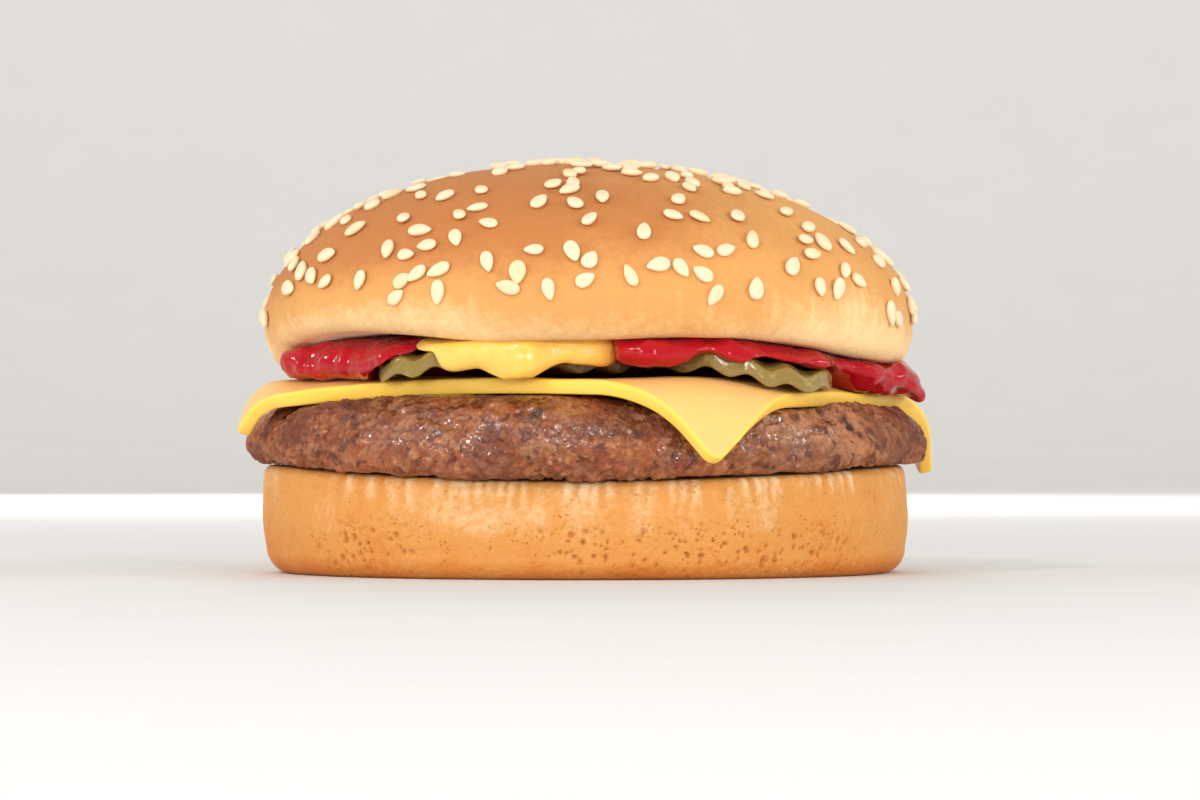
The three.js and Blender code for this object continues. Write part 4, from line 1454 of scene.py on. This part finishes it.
def seed_mesh(places):
    """All the seeds as one mesh: flat teardrops, each lying on the crust at its own place."""
    draw = np.random.default_rng(SEED_SEED)
    around = np.linspace(0, 2 * math.pi, SEED_AROUND, endpoint=False)[None, :]
    rise = np.linspace(-math.pi / 2, math.pi / 2, SEED_RINGS)[:, None]
    plump = np.abs(np.cos(rise)) ** 0.7
    x, y = polar(plump, around)
    z = np.sin(rise) * np.ones_like(around)
    point = np.clip(x, 0, 1) ** 2
    shape = np.stack([
        x,
        y * (1 - SEED.taper * x) * (1 - 0.25 * point),
        z * (1 - 0.3 * point),
    ], axis=-1)
    shape *= np.array([SEED.length, SEED.width, 0.86 * SEED.height]) / 2
    middle = bell(np.hypot(x * 1.1 + 0.15, y * 1.3), 0.55) * (z > 0)
    quads, triangles = skin_faces(SEED_RINGS, SEED_AROUND)
    count = len(skin_points(shape))
    step = 0.01  # of the angles, to find the directions along the crust
    all_points, all_quads, all_triangles, tones, middles = [], [], [], [], []
    for number, place in enumerate(places):
        along = crown_skin(np.float64(place.turn + step), np.float64(place.up)) - place.at
        along /= np.linalg.norm(along)
        rising = crown_skin(np.float64(place.turn), np.float64(place.up + step)) - place.at
        normal = np.cross(along, rising)
        normal /= np.linalg.norm(normal)
        basis = np.stack([along, np.cross(normal, along), normal])
        spin = np.array(Matrix.Rotation(place.spin, 3, "Z"))
        tip = np.array(Matrix.Rotation(draw.normal(0, 0.07), 3, "Y"))
        stretch = np.array([1 + draw.normal(0, 0.05), 1 + draw.normal(0, 0.07), 1 + draw.normal(0, 0.08)])
        local = skin_points(shape * stretch * SEED_SHARE) @ tip.T @ spin.T * place.size
        local += 0.04 * soft_noise(local + number * 7.3, 1.3, 12)[:, None] * np.array([1, 1, 0.4])
        all_points.append(place.at + local @ basis + normal * (SEED.sink + SEED_LIFT))
        all_quads.append(quads + number * count)
        all_triangles.append(triangles + number * count)
        tones.append(np.full(count, draw.uniform()))
        middles.append(skin_points(middle))
    points = crown_in_place(np.concatenate(all_points))
    masks = {"tone": np.concatenate(tones), "middle": np.concatenate(middles)}
    return mesh_object("sesame_seeds", points, np.concatenate(all_quads), np.concatenate(all_triangles), masks)


def seed_material(settings):
    surface = Surface(
        "sesame", Specular_IOR_Level=0.45, Subsurface_Weight=0.3, Subsurface_Scale=0.0015,
        Subsurface_Radius=(1.0, 0.7, 0.4),
    )
    specks = surface.noise(1500.0, 3.0)
    colour = surface.mix(surface.mask("middle") * 0.55, settings.seed, settings.seed_middle)
    toasted = (surface.mask("tone").remap(0.7, 1.0, 0.0, 0.45) + specks.remap(0.5, 0.8, 0.0, 0.2)).clamped()
    surface.set("Base Color", surface.mix(toasted, colour, TOASTED))
    surface.set("Roughness", specks.remap(0.3, 0.7, 0.34, 0.5))
    surface.bump(specks, 0.00006)
    return surface.material


class BURGER_OT_crown(bpy.types.Operator):
    """Makes the top bun and the sesame seeds on it."""

    bl_idname = "burger.crown"
    bl_label = "Make Top Bun"

    def execute(self, context):
        settings = context.scene.burger_crown
        places = seed_places()
        finish_piece(crown_mesh(settings, places), crown_material(settings), "top_bun")
        finish_piece(seed_mesh(places), seed_material(settings), "top_bun")
        return {"FINISHED"}


# ---- Stage ----


class BurgerStageSettings(bpy.types.PropertyGroup):
    """Colour of the floor, and the place and frame of the camera."""

    floor: colour_prop("Floor", "Colour of the pale floor", (0.75, 0.74, 0.72))
    camera_distance: length_prop("Camera Distance", "From the burger's middle", 750, 300)
    camera_height: length_prop("Camera Height", "Over the floor", 20)
    frame_width: length_prop("Frame Width", "Width that the picture takes in at the burger's middle", 186, 50)


SENSOR = 36.0
AIM = Vector((0.0020, 0.0, 0.0266))
# Lights: name, place, size and power. Each is a soft panel that faces the burger.
PANELS = (
    ("key_panel", (-0.42, -0.66, 0.66), 0.10, 1.8),
    ("spark_panel", (0.34, -0.80, 0.52), 0.07, 0.7),
    ("left_glint_panel", (-0.28, -1.00, 0.24), 0.13, 2.2),
    ("right_glint_panel", (0.34, -1.00, 0.20), 0.13, 2.2),
    ("left_edge_panel", (-0.92, 0.10, 0.38), 0.15, 1.3),
    ("right_edge_panel", (0.92, 0.05, 0.30), 0.15, 0.9),
    ("front_panel", (0.12, -1.10, 0.12), 0.50, 0.7),
    ("right_panel", (0.85, -0.40, 0.30), 0.50, 3.0),
    ("left_panel", (-0.80, -0.45, 0.16), 0.50, 2.6),
    ("top_panel", (0.05, 0.20, 0.95), 0.50, 0.4),
    ("back_panel", (-0.10, 1.00, 0.45), 0.60, 4.0),
)
WIDEST_GLINT = 0.2  # wider panels give soft light only, without a reflection of their own
BACKDROP_PANEL = ("backdrop_panel", (0.0, 0.30, 0.90), 0.60, 11.0)
BACKDROP_AIM = (0.0, 2.2, 1.30)
AIR = (1.0, 0.98, 0.95)
AIR_LIGHT = 0.5
FLOOR_SHADE = (0.71, 0.70, 0.68)
# The floor, in millimetres: the flat part's radius, that of the curve up, the wall's height, and its columns.
FLOOR_FLAT, FLOOR_CURVE, FLOOR_WALL, FLOOR_AROUND = 1200.0, 800.0, 1700.0, 96
FLOOR_RINGS = (150, 300, 450)


def stage_floor(settings):
    """A round floor that curves up into a wall all round, far from the burger."""
    cosine, sine = quarter(20)
    radii = np.concatenate([FLOOR_RINGS, FLOOR_FLAT + FLOOR_CURVE * sine, [FLOOR_FLAT + FLOOR_CURVE]])[:, None]
    heights = np.concatenate([np.zeros(len(FLOOR_RINGS)), FLOOR_CURVE * (1 - cosine), [FLOOR_WALL]])[:, None]
    turn = np.linspace(0, 2 * math.pi, FLOOR_AROUND, endpoint=False)
    rings = np.stack([*polar(radii, turn), heights + 0 * turn], axis=-1)
    index = 1 + np.arange(radii.size * FLOOR_AROUND).reshape(radii.size, FLOOR_AROUND)
    after = np.roll(index, -1, axis=1)
    quads = np.stack([index[:-1], index[1:], after[1:], after[:-1]], axis=-1)
    fan = np.stack([np.zeros(FLOOR_AROUND, int), index[0], after[0]], axis=-1)
    floor = mesh_object("studio_floor", np.concatenate([np.zeros((1, 3)), rings.reshape(-1, 3)]), quads, fan)
    surface = Surface("studio_floor", Specular_IOR_Level=0.2)
    grain = surface.noise(35.0, 4.0)
    colour = surface.mix(grain.remap(0.3, 0.7, 0.0, 0.25), settings.floor, FLOOR_SHADE)
    surface.set("Base Color", colour)
    surface.set("Roughness", grain.remap(0.3, 0.7, 0.6, 0.75))
    floor.data.materials.append(surface.material)


def facing(place, target):
    return (Vector(target) - Vector(place)).to_track_quat("-Z", "Y").to_euler()


def light_panel(name, place, size, power, target):
    """A soft round panel of light that faces a point and doesn't show itself."""
    light = bpy.data.lights.new(name, "AREA")
    light.shape = "DISK"
    light.size = size
    light.energy = power
    panel = bpy.data.objects.new(name, light)
    panel.location = place
    panel.rotation_euler = facing(place, target)
    panel.visible_camera = False
    panel.visible_glossy = size < WIDEST_GLINT
    bpy.context.scene.collection.objects.link(panel)


class BURGER_OT_stage(bpy.types.Operator):
    """Sets the pale floor, the soft lights and the camera."""

    bl_idname = "burger.stage"
    bl_label = "Set Stage"

    def execute(self, context):
        settings = context.scene.burger_stage
        stage_floor(settings)
        for panel in PANELS:
            light_panel(*panel, AIM)
        light_panel(*BACKDROP_PANEL, BACKDROP_AIM)
        world = bpy.data.worlds.new("studio_air")
        world.use_nodes = True
        air = world.node_tree.nodes["Background"]
        set_even(air.inputs["Color"], AIR)
        set_even(air.inputs["Strength"], AIR_LIGHT)
        context.scene.world = world
        lens = bpy.data.cameras.new("camera")
        lens.sensor_width = SENSOR
        lens.clip_start = 0.01
        place = Vector((AIM.x, -settings.camera_distance, settings.camera_height))
        lens.lens = SENSOR * (AIM - place).length / settings.frame_width
        camera = bpy.data.objects.new("camera", lens)
        camera.location = place
        camera.rotation_euler = facing(place, AIM)
        context.scene.collection.objects.link(camera)
        context.scene.camera = camera
        context.scene.view_settings.view_transform = "Standard"
        return {"FINISHED"}


# ---- Panel and registration ----


class BURGER_PT_looks(bpy.types.Panel):
    """Lists the burger's pieces and their settings."""

    bl_idname = "BURGER_PT_looks"
    bl_label = "Cheeseburger"
    bl_space_type = "VIEW_3D"
    bl_region_type = "UI"
    bl_category = "Burger"

    def draw(self, context):
        for key, (settings, maker) in STEPS.items():
            box = self.layout.box()
            box.operator(maker.bl_idname)
            group = getattr(context.scene, key)
            for prop in settings.__annotations__:
                box.prop(group, prop)


STEPS = {
    "burger_stage": (BurgerStageSettings, BURGER_OT_stage),
    "burger_heel": (BurgerHeelSettings, BURGER_OT_heel),
    "burger_patty": (BurgerPattySettings, BURGER_OT_patty),
    "burger_cheese": (BurgerCheeseSettings, BURGER_OT_cheese),
    "burger_pickle": (BurgerPickleSettings, BURGER_OT_pickles),
    "burger_sauce": (BurgerSauceSettings, BURGER_OT_sauces),
    "burger_crown": (BurgerCrownSettings, BURGER_OT_crown),
}


def register():
    for key, (settings, maker) in STEPS.items():
        bpy.utils.register_class(settings)
        bpy.utils.register_class(maker)
        setattr(bpy.types.Scene, key, PointerProperty(type=settings))
    bpy.utils.register_class(BURGER_PT_looks)


def unregister():
    bpy.utils.unregister_class(BURGER_PT_looks)
    for key, (settings, maker) in reversed(STEPS.items()):
        delattr(bpy.types.Scene, key)
        bpy.utils.unregister_class(maker)
        bpy.utils.unregister_class(settings)


def main():
    register()
    for _, maker in STEPS.values():
        group, action = maker.bl_idname.split(".")
        getattr(getattr(bpy.ops, group), action)()


if __name__ == "__main__":
    main()
